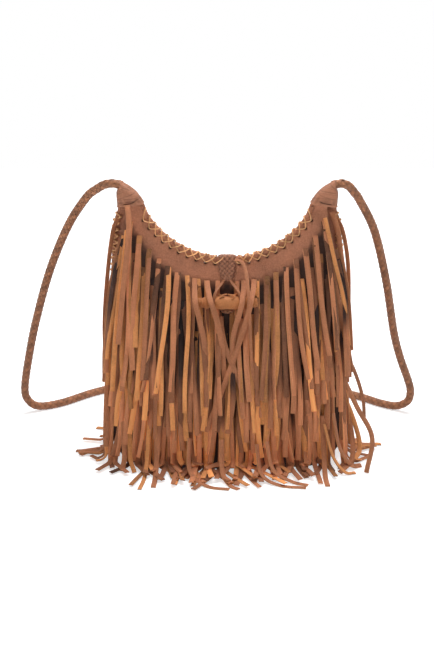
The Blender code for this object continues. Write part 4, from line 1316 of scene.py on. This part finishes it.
    def patch(self) -> Patch:
        """The row's strips, laid from the slits to the ends and then marked."""
        rng = np.random.default_rng(100 * self.row + 7 + self.side.value)
        shape = self.shape
        centres = np.repeat(self.centres(), 2)
        count = len(centres)
        under = np.tile([0.0, 1.0], count // 2)
        centres = centres + rng.uniform(-0.0008, 0.0008, count)
        aside = under * rng.uniform(-self.under_aside, self.under_aside, count)
        run = self.lengths(rng, centres, under)[:, None] * self.share
        place = centres[:, None]
        seam = place * shape.spread(shape.row_height(place, self.row))
        top = shape.row_height(seam, self.row) + rng.uniform(-0.0007, 0.0007, count)[:, None]
        hanging = place * shape.spread(np.maximum(top - run, 0.0))
        x = self.held_in(hanging + self.drift(rng, place, aside[:, None], run))
        layers = self.layers(rng, shape.row_height(hanging, self.row) - top + run, run)
        stand = self.stands(layers, under, run)
        bend = rng.uniform(*self.bends, count)[:, None]
        bend = np.maximum(bend, stand.max(axis=1, keepdims=True) + 0.0015)
        out, z = self.fall(x, top, run, stand, bend)
        swing = rng.normal(0.0, self.floor_swing, count)[:, None]
        x = x + np.maximum(run - (top - bend) - bend, 0.0) * np.sin(swing)
        twist = self.twists(rng, run, z)
        # Random tone per tail; under tails are painted darker as shade.
        tone = np.clip(rng.normal(0.20, 0.85, count), -1.0, 1.6) - 0.80 * under
        odds = self.flesh_share + self.flesh_left * smooth_step(-centres, 0.02, 0.09)
        flesh = (rng.random(count) < odds).astype(float)
        scale = rng.uniform(0.86, 1.06, count)
        across = np.array([-float(self.side.value), 0.0, 0.0])
        paths = np.stack([x, self.side.value * out, z], axis=-1)
        patch = self.strip.patch(paths, across, twist, tone, flesh, scale)
        corners = len(patch.points) // run.size
        # Painted light on the lower parts of the tails, and painted shade.
        patch.marks["tone"] = patch.marks["tone"] + np.repeat(self.painted_light_tone(run, z), corners)
        patch.marks["hollow"] = np.repeat(self.shade(rng, run, under, flesh, out, z), corners)
        return patch

    def build(self, finish: bpy.types.Material) -> None:
        """Make the row."""
        word = self.side.name.lower()
        node = f"{word}_fringe_row_{self.row + 1}"
        make_piece(f"{word}_strips_{self.row + 1}", [self.patch()], finish, Slot.FRINGE, (node,))


@dataclass
class SideFringe:
    """The rows of strips down one side of the bag, whose ends spread over the floor."""

    shape: BagShape
    word: str
    sign: float
    strip: Strip = field(default_factory=Strip)
    seams: tuple[float, ...] = (0.225, 0.100)
    reaches: tuple[float, ...] = (0.0100, 0.0270)
    slits: tuple[int, ...] = (3, 5)
    length: float = 0.130
    bend: float = 0.013
    bulge: float = 0.0060
    floor_swing: float = 0.5
    flesh_share: float = 0.25
    samples: int = 36

    def fall(self, drop: Array, run: Array, stand: Array) -> tuple[Array, Array, Array]:
        """Follow strips down the side, round a quarter bend and along the floor.

        Args:
            drop: length that hangs above the bend.
            run: length from the seam.
            stand: distance from the side.

        Returns:
            Distance from the middle of the bag, height, and length on the floor.
        """
        angle = np.clip((run - drop) / self.bend, 0.0, math.pi / 2.0)
        on_floor = np.maximum(run - drop - self.bend * math.pi / 2.0, 0.0)
        hang_z = np.maximum(drop + self.bend - run, self.bend)
        turn = self.bend - stand
        bent = self.shape.half_width + self.bend - turn * np.cos(angle) + on_floor
        out = np.where(run <= drop, self.shape.width_at(hang_z) + stand, bent)
        return out, np.where(run <= drop, hang_z, self.bend - turn * np.sin(angle)), on_floor

    def patch(self, row: int) -> Patch:
        """Strips of one row.

        A strip bulges by the squared sine of a quarter turn over its hanging length, and on the
        floor it swings to the front or the back.
        """
        rng = np.random.default_rng(31 * row + (3 if self.sign < 0.0 else 17))
        slits = np.linspace(-self.reaches[row], self.reaches[row], self.slits[row])
        y = np.repeat(slits, 2) + rng.uniform(-0.0015, 0.0015, 2 * self.slits[row])
        count = len(y)
        top = self.seams[row] + rng.uniform(-0.002, 0.002, count)[:, None]
        length = self.length * rng.uniform(0.84, 1.06, count)[:, None]
        share = np.linspace(0.0, 1.0, self.samples)[None, :]
        run = length * share
        drop = top - self.bend
        stand = 0.0016 + 0.0022 * rng.uniform(0.0, 1.6, count)[:, None] * smooth_step(run, 0.0, 0.03)
        sine = np.sin(math.pi * np.clip(run / drop, 0.0, 1.0) / 2.0)
        bulge = self.bulge * rng.uniform(0.4, 1.2, count)[:, None] * sine**2
        out, z, on_floor = self.fall(drop, run, stand)
        swing = rng.normal(0.0, self.floor_swing, count)[:, None]
        drift = rng.normal(0.0, 0.005, count)[:, None] * share**1.3 + on_floor * np.sin(swing)
        x = self.sign * (out + bulge - on_floor * (1.0 - np.cos(swing)))
        paths = np.stack([x, y[:, None] + drift, z], axis=-1)
        twist = self.sign * rng.uniform(0.1, 1.1, count)[:, None] * smooth_step(run, 0.0, 0.05)
        twist = twist * (1.0 - smooth_step(-z, -0.016, -0.004))
        tone = rng.normal(0.0, 0.6, count)
        flesh = (rng.random(count) < self.flesh_share).astype(float)
        across = np.array([0.0, self.sign, 0.0])
        return self.strip.patch(paths, across, twist, tone, flesh, rng.uniform(0.80, 1.0, count))

    def build(self, finish: bpy.types.Material) -> None:
        """Make both rows."""
        for row in range(len(self.seams)):
            name = f"{self.word}_side_strips_{row + 1}"
            make_piece(f"{name}_suede", [self.patch(row)], finish, Slot.FRINGE, (name,))


@dataclass(frozen=True)
class LooseStrip:
    """A strip that lies apart from its row, by points along it in millimetres."""

    points: tuple[tuple[float, float, float], ...]
    across: tuple[float, float, float]
    flesh: float = 0.0
    tone: float = 0.0
    scale: float = 1.0


@dataclass
class LooseStrips:
    """Strips that pass in front of the toggle, spread on the floor or hang beside the bag."""

    strip: Strip = field(default_factory=Strip)
    samples: int = 40
    strips: tuple[LooseStrip, ...] = (
        LooseStrip(((-35, -15, 208), (-35.2, -21, 203), (-34.5, -38.5, 190), (-32.5, -40.5, 180),
                    (-25, -40, 145), (-18, -46, 80)), (1, 0, 0)),
        LooseStrip(((-21.5, -15, 205), (-21.2, -22, 201), (-18, -40, 189.5), (-14, -42, 178),
                    (-6, -40.5, 142), (-1, -48, 76)), (1, 0, 0)),
        LooseStrip(((18, -15, 205.5), (17.8, -22, 201), (16, -40.5, 189.5), (13.5, -42, 178),
                    (6, -40, 142), (10, -48, 80)), (1, 0, 0)),
        LooseStrip(((29, -15, 206.5), (28.5, -22, 201), (25.5, -39.5, 190), (23, -41, 178),
                    (12, -42, 140), (-11, -50, 70)), (1, 0, 0)),
        LooseStrip(((16, -33, 168), (12, -40, 140), (-8, -51, 85), (-23, -58, 47)), (1, 0, 0), 0.0, 0.4),
        LooseStrip(((-8, -32, 170), (-2, -40, 138), (14, -49, 98), (20, -53, 69)), (1, 0, 0), 0.0, -0.4),
        LooseStrip(((-118, -10, 90), (-123, -12, 35), (-136, -9, 7), (-170, -2, 1.2)),
                   (0.3, -1, 0), 0.0, -0.3),
        LooseStrip(((-112, -5, 80), (-117, 0, 25), (-128, 2, 6), (-147, 4, 1.2)), (0.2, -1, 0), 0.0, -0.6),
        LooseStrip(((-112, 35, 80), (-118, 45, 25), (-132, 59, 5), (-152, 68, 1.2)), (0.5, -1, 0), 1.0),
        LooseStrip(((118, -2, 85), (128, -4, 35), (146, 10, 7), (176, 18, 1.2)), (0.3, 1, 0), 1.0),
        LooseStrip(((124, -30, 105), (142, -36, 68), (159, -45, 35), (152, -64, 1.2)), (0.9, 0.4, 0)),
        LooseStrip(((118, -30, 100), (135, -32, 48), (138, -45, 12), (123, -64, 1.2)), (1, 0.1, 0)),
        LooseStrip(((120, 0, 90), (140, -2, 45), (149, -15, 11), (137, -38, 1.2)), (0.9, 0.4, 0), 1.0),
        LooseStrip(((122, -24, 135), (138, -22, 108), (150, -18, 72), (153, -16, 44)),
                   (0.8, 0.6, 0), 0.0, -0.7, 0.8),
        LooseStrip(((116, -42, 62), (123, -50, 26), (136, -52, 6), (148, -44, 1.2)),
                   (0.6, 0.8, 0), 0.0, 0.1),
        LooseStrip(((106, -48, 52), (115, -60, 20), (128, -68, 4), (140, -64, 1.2)),
                   (0.6, 0.8, 0), 1.0, -0.2, 0.8),
        LooseStrip(((-112, -38, 90), (-113.5, -44, 45), (-112.5, -50, 15), (-115, -60, 1.4)),
                   (1, 0.1, 0), 0.0, 0.3),
        LooseStrip(((-106, -38, 90), (-106.5, -44, 45), (-106, -52, 14), (-101, -64, 1.4)),
                   (1, 0.1, 0), 1.0, -0.4, 0.9),
        LooseStrip(((-41, -60, 40), (-40, -80, 10), (-22, -100, 1.4), (2, -108, 1.2)), (0.7, 0.7, 0)),
        LooseStrip(((-6, -64, 40), (-5, -82, 10), (3, -98, 1.4), (12, -108, 1.2)), (0.9, 0.5, 0)),
        LooseStrip(((32, -64, 35), (37, -83, 8), (56, -98, 1.4), (84, -104, 1.2)), (0.6, 0.8, 0)),
        LooseStrip(((-106.9, -12, 288), (-104.7, -20.5, 271.8), (-106.8, -30, 241.4),
                    (-112.5, -40, 191.1), (-117.3, -44, 142.4)), (1, 0.1, 0), 0.0, 0.3),
        LooseStrip(((-107.1, -17, 262), (-110.3, -26, 231.8), (-115.9, -36, 189.8), (-120.9, -42, 141),
                    (-124.9, -44, 88.5)), (1, 0.2, 0), 1.0, 0.2),
        LooseStrip(((-110.6, -12, 254.8), (-116.2, -21, 219.2), (-123, -30, 176.7),
                    (-127.9, -36, 133.2), (-129.5, -40, 94.4)), (1, 0.2, 0), 1.0, -0.3),
        LooseStrip(((-114.3, -8, 248.8), (-122.1, -14, 216.9), (-129.2, -20, 173.6),
                    (-133.1, -24, 129.1), (-133.7, -28, 93.5)), (1, 0.2, 0), 0.0, -0.2),
        LooseStrip(((104.6, -11, 274), (108.7, -18, 257), (115.3, -24, 228.7), (125.5, -30, 186.9),
                    (131.9, -34, 138.3)), (0.9, -0.4, 0), 1.0, -0.1, 0.8),
        LooseStrip(((112.4, -5, 279), (119, -8, 257.7), (123.7, -14, 225.9), (130.7, -20, 184.9),
                    (135.1, -24, 129.1)), (1, -0.3, 0), 0.0, 0.2),
        LooseStrip(((110.3, -20, 227.6), (119.2, -28, 187.4), (128.7, -32, 143.3), (135.8, -36, 108)),
                   (1, -0.2, 0), 0.0, -0.3),
        LooseStrip(((-85, -45, 60), (-87, -56, 20), (-89.3, -76, 2), (-93.6, -108, 1.2)),
                   (1, 0, 0), 1.0, 0.2, 0.8),
        LooseStrip(((-74, -48, 60), (-76.5, -60, 18), (-77.8, -78, 2), (-79.1, -103, 1.2)),
                   (1, 0, 0), 0.0, 0.2),
        LooseStrip(((104, -43, 60), (106, -54, 20), (106.4, -74, 2), (107.5, -100, 1.2)),
                   (1, 0, 0), 0.0, 0.3),
        LooseStrip(((43, -64, 38), (50, -79, 11), (70, -90, 2), (86.4, -97.4, 1.2)),
                   (0.6, 0.8, 0), 0.0, 0.4),
        LooseStrip(((-117, 2, 272), (-123.5, 0, 256), (-130, -2, 210), (-134.5, -6, 150),
                    (-133, -10, 80)), (1, 0.3, 0), 0.0, 0.0, 0.8),
        LooseStrip(((117, 2, 272), (125, 0, 256), (131.5, -2, 218), (133.5, -4, 160), (136, -8, 92)),
                   (1, -0.3, 0), 0.0, 0.3, 0.8),
    )

    def build(self, finish: bpy.types.Material) -> None:
        """Make them all as one piece."""
        patches = []
        for strip in self.strips:
            path = read_evenly(curve_through(0.001 * np.array(strip.points), 12), self.samples)
            across, twist = np.array(strip.across, float), np.zeros((1, self.samples))
            one = [np.array([value]) for value in (strip.tone, strip.flesh, strip.scale)]
            patches.append(self.strip.patch(path[None], across, twist, *one))
        make_piece("loose_strips", patches, finish, Slot.FRINGE)


# Tab and toggle


@dataclass
class WovenTab:
    """The flat plaited tab over the mouth."""

    shape: BagShape
    width: float = 0.0190
    thickness: float = 0.0026
    front_end: float = 0.2050
    back_end: float = 0.2085
    strands: int = 6
    strand_width: float = 0.0037
    strand_thickness: float = 0.0014
    lift: float = 0.00072
    taper: float = 0.015

    def line(self) -> Array:
        """The tab's middle line from the back, over both mouth edges, to the front."""
        shape = self.shape
        shoulder = shape.mouth_low - 0.005
        stand = 0.0003 + 0.5 * self.thickness
        back_z = np.linspace(self.back_end, shoulder, 10)
        front_z = np.linspace(shoulder, self.front_end, 10)
        zero = np.zeros(1)
        reach = float(shape.depth(zero, np.array([shoulder]))[0]) + stand
        turn = np.linspace(0.0, math.pi, 17)[1:-1]
        crown = shape.mouth_low + 0.0004 - shoulder
        over_y = reach * np.sign(np.cos(turn)) * np.abs(np.cos(turn)) ** 0.5
        over_z = shoulder + crown * np.sin(turn) ** 0.5
        back_y = shape.depth(0.0 * back_z, back_z) + stand
        front_y = -shape.depth(0.0 * front_z, front_z) - stand
        y = np.concatenate([back_y, over_y, front_y])
        z = np.concatenate([back_z, over_z, front_z])
        behind = 1.0 + np.clip(y / reach, -1.0, 1.0)
        z = z - 0.5 * (shape.back_drop - shape.front_drop) * behind * (z > shoulder)
        return even_line(np.stack([0.0 * y, y, z], axis=-1), 0.0005)

    def patch(self) -> Patch:
        """Plaited strands.

        Strand k lies at a triangle wave of the run across the tab, and rises and falls by a
        cosine of the run, whose sign changes with its direction, so that strands interlace.
        """
        line = self.line()
        run = run_along(line)[None, :]
        half = 0.5 * self.width - 0.4 * self.strand_width
        phase = run / half + 4.0 * np.arange(self.strands)[:, None] / self.strands
        across = 1.0 - np.abs(np.mod(phase, 4.0) - 2.0)
        plait = 2.0 * half / self.strands
        hand = np.clip(3.0 * np.sin(math.pi * phase / 2.0), -1.0, 1.0)
        rise = self.lift * hand * np.cos(math.pi * run / plait)
        along = unit(np.gradient(line, axis=0))
        out = np.stack([0.0 * along[:, 0], along[:, 2], -along[:, 1]], axis=-1)
        narrow = 1.0 - 0.45 * smooth_step(run, run[0, -1] - self.taper, run[0, -1]) ** 2
        x = half * across * narrow
        paths = line[None] + rise[..., None] * out[None]
        paths = paths + x[..., None] * np.array([1.0, 0.0, 0.0])
        tangent = unit(np.gradient(paths, axis=-2))
        wide = np.cross(out[None], tangent)
        strand = (self.strand_width, self.strand_thickness)
        # Painted shade where a strand dips under another, and at its edges.
        return flat_strands(paths, wide, strand, 0.45 * (0.5 - 0.5 * rise / self.lift), 0.60)

    def build(self) -> None:
        """Make the tab."""
        make_piece("plaited_tab", [self.patch()], CAP_LEATHER.material(), Slot.BROWN, ("braided_tab",))


@dataclass
class Toggle:
    """The toggle: a suede barrel on a core with whipped ends, its loop and the thongs above."""

    shape: BagShape
    height: float = 0.1850
    half_length: float = 0.0325
    barrel_radius: float = 0.0075
    barrel_half: float = 0.0135
    wrap_radius: float = 0.0056
    collar_radius: float = 0.0075
    loop_radius: float = 0.0020
    loop_half: float = 0.0062
    strand_radius: float = 0.0012
    seat: float = 0.0046
    whip_radius: float = 0.00095
    whip_pitch: float = 0.0016
    curl_radius: float = 0.0008

    @property
    def axis(self) -> float:
        """Distance of the toggle's axis in front of the middle plane, past strips seat thick."""
        face = float(self.shape.depth(np.array([self.half_length]), np.array([self.height]))[0])
        return face + self.seat + max(self.barrel_radius, self.collar_radius)

    def barrel(self) -> Patch:
        """The wrapped barrel: a round profile with drawn-in ends and the edge of its wrap."""
        x = np.linspace(-self.barrel_half, self.barrel_half, 60)
        share = x / self.barrel_half
        radius = self.barrel_radius * (0.80 + 0.20 * np.sqrt(np.clip(1.0 - share**6, 0.0, 1.0)))
        radius = radius * (1.0 - 0.04 * np.cos(math.pi * share) ** 2)
        path = np.stack([x, np.full(60, -self.axis), self.height + 0.0006 * share**2], axis=-1)
        return tubes(path, np.array([0.0, 1.0, 0.0]), radius[None, :], 36, 0.3)

    def whipping(self, side: float) -> Patch:
        """Cord wound round one end: a helix whose radius swells at the collar."""
        inner = self.barrel_half + 0.0030
        turns = (self.half_length - inner) / self.whip_pitch
        share = np.linspace(0.0, 1.0, int(turns * 20))
        x = inner + share * (self.half_length - inner)
        collar = np.exp(-(((share - 0.36) / 0.13) ** 4))
        radius = self.wrap_radius - 0.0009 + (self.collar_radius - self.wrap_radius) * collar
        radius = radius * (1.0 - 0.25 * share**6)
        angle = side * 2.0 * math.pi * turns * share
        y, z = -self.axis + radius * np.cos(angle), self.height + radius * np.sin(angle)
        path = np.stack([side * x, y, z], axis=-1)
        cord = tubes(path, np.array([1.0, 0.0, 0.0]), self.whip_radius, 8, -0.2)
        core_x = np.linspace(inner, self.half_length, 12)
        core = np.stack([side * core_x, np.full(12, -self.axis), np.full(12, self.height)], axis=-1)
        inside = tubes(core, np.array([0.0, 1.0, 0.0]), self.wrap_radius - 0.0011, 20, -1.0)
        return Patch.join([cord, inside])

    def curls(self) -> Patch:
        """A few small uneven loops of thong over the top of the barrel."""
        x = np.array([-0.0085, -0.0030, 0.0045, 0.0090])[:, None]
        turn = np.linspace(0.0, 1.0, 18)[None, :]
        angle = np.array([[0.9], [1.1], [0.8], [1.2]]) + turn * np.array([[1.3], [0.9], [1.2], [0.8]])
        reach = self.barrel_radius + 0.0006 + 0.0012 * np.sin(math.pi * turn)
        lean = np.array([[0.0030], [-0.0026], [0.0034], [-0.0022]]) * np.sin(2.2 * math.pi * turn)
        paths = np.stack([
            x + lean, -self.axis - reach * np.cos(angle), self.height + reach * np.sin(angle),
        ], axis=-1)
        return tubes(paths, np.array([1.0, 0.0, 0.0]), self.curl_radius, 7, np.linspace(-0.6, 0.5, 4))

    def loop(self) -> Patch:
        """The braided loop that leaves the panel and carries the barrel from below."""
        turns = np.radians([35.0, 62.0, 82.0])
        reach = self.barrel_radius + self.loop_radius + 0.0006
        face = -float(self.shape.depth(np.array([self.loop_half]), np.array([self.height]))[0])
        side = np.stack([
            np.array([1.0, 0.85, 0.45]) * self.loop_half,
            -self.axis + reach * np.cos(turns),
            self.height - reach * np.sin(turns),
        ], axis=-1)
        right = np.vstack([[(self.loop_half, face, self.height)], side])
        points = np.vstack([right, right[::-1] * np.array([-1.0, 1.0, 1.0])])
        path = even_line(curve_through(points, 10), 0.0006)
        return braid(path, np.array([0.0, -0.7, 0.7]), 0.0018, 0.0003, (0.0022, 0.0010), 0.0021, 3, 8)

    def hangers(self) -> Patch:
        """The two thongs that fork from the tab to the toggle."""
        top_z = 0.2065
        top_y = -float(self.shape.depth(np.zeros(1), np.array([top_z]))[0]) - 0.0015
        place = self.barrel_half + 0.0003 + self.strand_radius
        low = self.height + 0.0030
        right = np.array([
            (0.0030, top_y, top_z), (0.0064, top_y - 0.004, 0.2020),
            (0.80 * place, -self.axis - 0.001, low + 0.0100), (place, -self.axis - 0.0035, low + 0.0010),
            (place, -self.axis - 0.0040, self.height - 0.0030),
        ])
        paths = curve_through(np.stack([right, right * np.array([-1.0, 1.0, 1.0])]), 8)
        count = paths.shape[1]
        values = (np.array([-0.4, -0.6]), np.array([0.0, 0.0]), np.array([0.50, 0.50]))
        return Strip().patch(paths, np.array([1.0, 0.0, 0.2]), np.zeros((2, count)), *values)

    def thong(self) -> Patch:
        """The flat loose thong that leaves the tab's right side and hangs down the front."""
        points = np.array([
            (0.0085, -0.0115, 0.2275), (0.0150, -0.0150, 0.2270), (0.0195, -0.0240, 0.2200),
            (0.0225, -0.0395, 0.2010), (0.0235, -0.0415, 0.1800), (0.0255, -0.0430, 0.1380),
            (0.0290, -0.0500, 0.0920),
        ])
        path = curve_through(points, 10)[None]
        values = (np.array([-0.1]), np.array([0.0]), np.array([0.60]))
        return Strip().patch(path, np.array([1.0, 0.0, 0.3]), np.zeros(path.shape[:2]), *values)

    def build(self) -> None:
        """Make every piece of the closure."""
        suede = TOGGLE_SUEDE.material()
        fringe = FRINGE_SUEDE.material()
        make_piece("barrel_suede", [self.barrel()], suede, Slot.TAN, ("toggle_barrel",))
        make_piece("barrel_curls", [self.curls()], suede, Slot.TAN)
        for word, side in (("left", -1.0), ("right", 1.0)):
            make_piece(f"{word}_whipping", [self.whipping(side)], suede, Slot.TAN, (f"toggle_wrap_{word}",))
        make_piece("carrying_loop", [self.loop()], STRAP_LEATHER.material(), Slot.BROWN, ("toggle_loop",))
        forks = ("tab_strand_left", "tab_strand_right")
        make_piece("toggle_hangers", [self.hangers()], fringe, Slot.TAN, forks)
        make_piece("hanging_thong", [self.thong()], fringe, Slot.TAN, ("loose_thong",))
        for item in bpy.context.scene.objects:
            if item.get("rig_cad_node") == "toggle_core":
                item.data.materials.clear()
                item.data.materials.append(suede)


# Studio


@dataclass(frozen=True)
class Lamp:
    """A soft square lamp: where it stands, its side and its power."""

    name: str
    place: tuple[float, float, float]
    side: float
    power: float


@dataclass
class Studio:
    """Camera, white floor and soft lamps."""

    target: tuple[float, float, float] = (-0.011, 0.0, 0.150)
    distance: float = 1.69
    elevation: float = math.radians(18.0)
    lens: float = 85.0
    sensor: float = 36.0
    lit: tuple[float, float, float] = (0.0, 0.0, 0.12)
    world_light: float = 0.33
    floor_size: float = 3.0
    floor_tone: float = 0.80
    floor_glow: float = 0.60
    lamps: tuple[Lamp, ...] = (
        Lamp("key", (-1.10, -1.45, 1.55), 0.5, 246.0),
        Lamp("fill", (1.3, -1.5, 0.55), 1.1, 112.0),
        Lamp("top", (0.2, 0.3, 1.9), 1.2, 36.0),
    )

    def camera(self) -> None:
        """Make the camera at the photograph's height and distance."""
        data = bpy.data.cameras.new("camera")
        data.lens = self.lens
        data.sensor_width = self.sensor
        camera = bpy.data.objects.new("camera", data)
        x, y, z = self.target
        reach = self.distance
        camera.location = (x, y - reach * math.cos(self.elevation), z + reach * math.sin(self.elevation))
        camera.rotation_euler = (math.pi / 2.0 - self.elevation, 0.0, 0.0)
        bpy.context.scene.collection.objects.link(camera)
        bpy.context.scene.camera = camera

    def floor(self) -> None:
        """Make a floor that keeps the shadow and shows white round it."""
        size = self.floor_size
        mesh = bpy.data.meshes.new("floor")
        corners = [(x * size, y * size, 0.0) for x, y in ((-1.0, -1.0), (1.0, -1.0), (1.0, 0.5), (-1.0, 0.5))]
        mesh.from_pydata(corners, [], [(0, 1, 2, 3)])
        floor = bpy.data.objects.new("floor", mesh)
        bpy.context.scene.collection.objects.link(floor)
        nodes = Nodes("floor_white")
        nodes.shader.inputs["Base Color"].default_value = (*(self.floor_tone,) * 3, 1.0)
        nodes.shader.inputs["Roughness"].default_value = 0.9
        nodes.shader.inputs["Specular IOR Level"].default_value = 0.0
        seen = self.seen(nodes)
        glow = nodes.add("ShaderNodeEmission")
        nodes.feed(glow.inputs["Strength"], nodes.maths("MULTIPLY", seen, self.floor_glow))
        both = nodes.add("ShaderNodeAddShader")
        nodes.feed(both.inputs[0], nodes.shader.outputs[0])
        nodes.feed(both.inputs[1], glow.outputs[0])
        nodes.feed(nodes.tree.nodes["Material Output"].inputs["Surface"], both.outputs[0])
        mesh.materials.append(nodes.material)

    @staticmethod
    def seen(nodes: Nodes) -> bpy.types.NodeSocket:
        """1 for rays from the camera and for mirrored or transmitted ones."""
        rays = nodes.add("ShaderNodeLightPath")
        first = nodes.maths("MAXIMUM", rays.outputs["Is Camera Ray"], rays.outputs["Is Glossy Ray"])
        return nodes.maths("MAXIMUM", first, rays.outputs["Is Transmission Ray"])

    def light(self) -> None:
        """Make the lamps, aimed at lit, and a world that shows white but lights at a plain level."""
        for lamp in self.lamps:
            data = bpy.data.lights.new(lamp.name, "AREA")
            data.size = lamp.side
            data.energy = lamp.power
            item = bpy.data.objects.new(lamp.name, data)
            aim = np.array(self.lit) - np.array(lamp.place)
            item.location = lamp.place
            item.rotation_euler = (
                math.acos(-aim[2] / np.linalg.norm(aim)), 0.0, math.atan2(aim[0], -aim[1])
            )
            bpy.context.scene.collection.objects.link(item)
        world = bpy.data.worlds.new("studio")
        world.use_nodes = True
        bpy.context.scene.world = world
        tree = world.node_tree
        back = tree.nodes["Background"]
        back.inputs["Color"].default_value = (1.0, 1.0, 1.0, 1.0)
        rays = tree.nodes.new("ShaderNodeLightPath")
        share = tree.nodes.new("ShaderNodeMapRange")
        share.inputs["To Min"].default_value = self.world_light
        share.inputs["To Max"].default_value = 1.0
        tree.links.new(rays.outputs["Is Camera Ray"], share.inputs["Value"])
        tree.links.new(share.outputs[0], back.inputs["Strength"])

    def build(self) -> None:
        """Set up the whole studio."""
        self.camera()
        self.floor()
        self.light()
        bpy.context.scene.view_settings.view_transform = "Standard"


def main() -> None:
    """Build the bag piece by piece."""
    logging.basicConfig(level=logging.INFO, format="%(name)s %(message)s")
    shape = BagShape()
    holes = LaceHoles()
    Studio().build()
    ShoulderStrap().build()
    for side in Side:
        Panel(shape, holes, side).build()
        MouthLace(shape, holes, side).build()
    Gusset(shape).build()
    Lining(shape).build()
    for word, sign, seed in (("left", -1.0, 4), ("right", 1.0, 8)):
        EarCap(word, sign, seed=seed).build()
    finish = FRINGE_SUEDE.material()
    for side in Side:
        for row in range(shape.rows):
            FringeRow(shape, side, row).build(finish)
    for word, sign in (("left", -1.0), ("right", 1.0)):
        SideFringe(shape, word, sign).build(finish)
    LooseStrips().build(finish)
    WovenTab(shape).build()
    Toggle(shape).build()


if __name__ == "__main__":
    main()
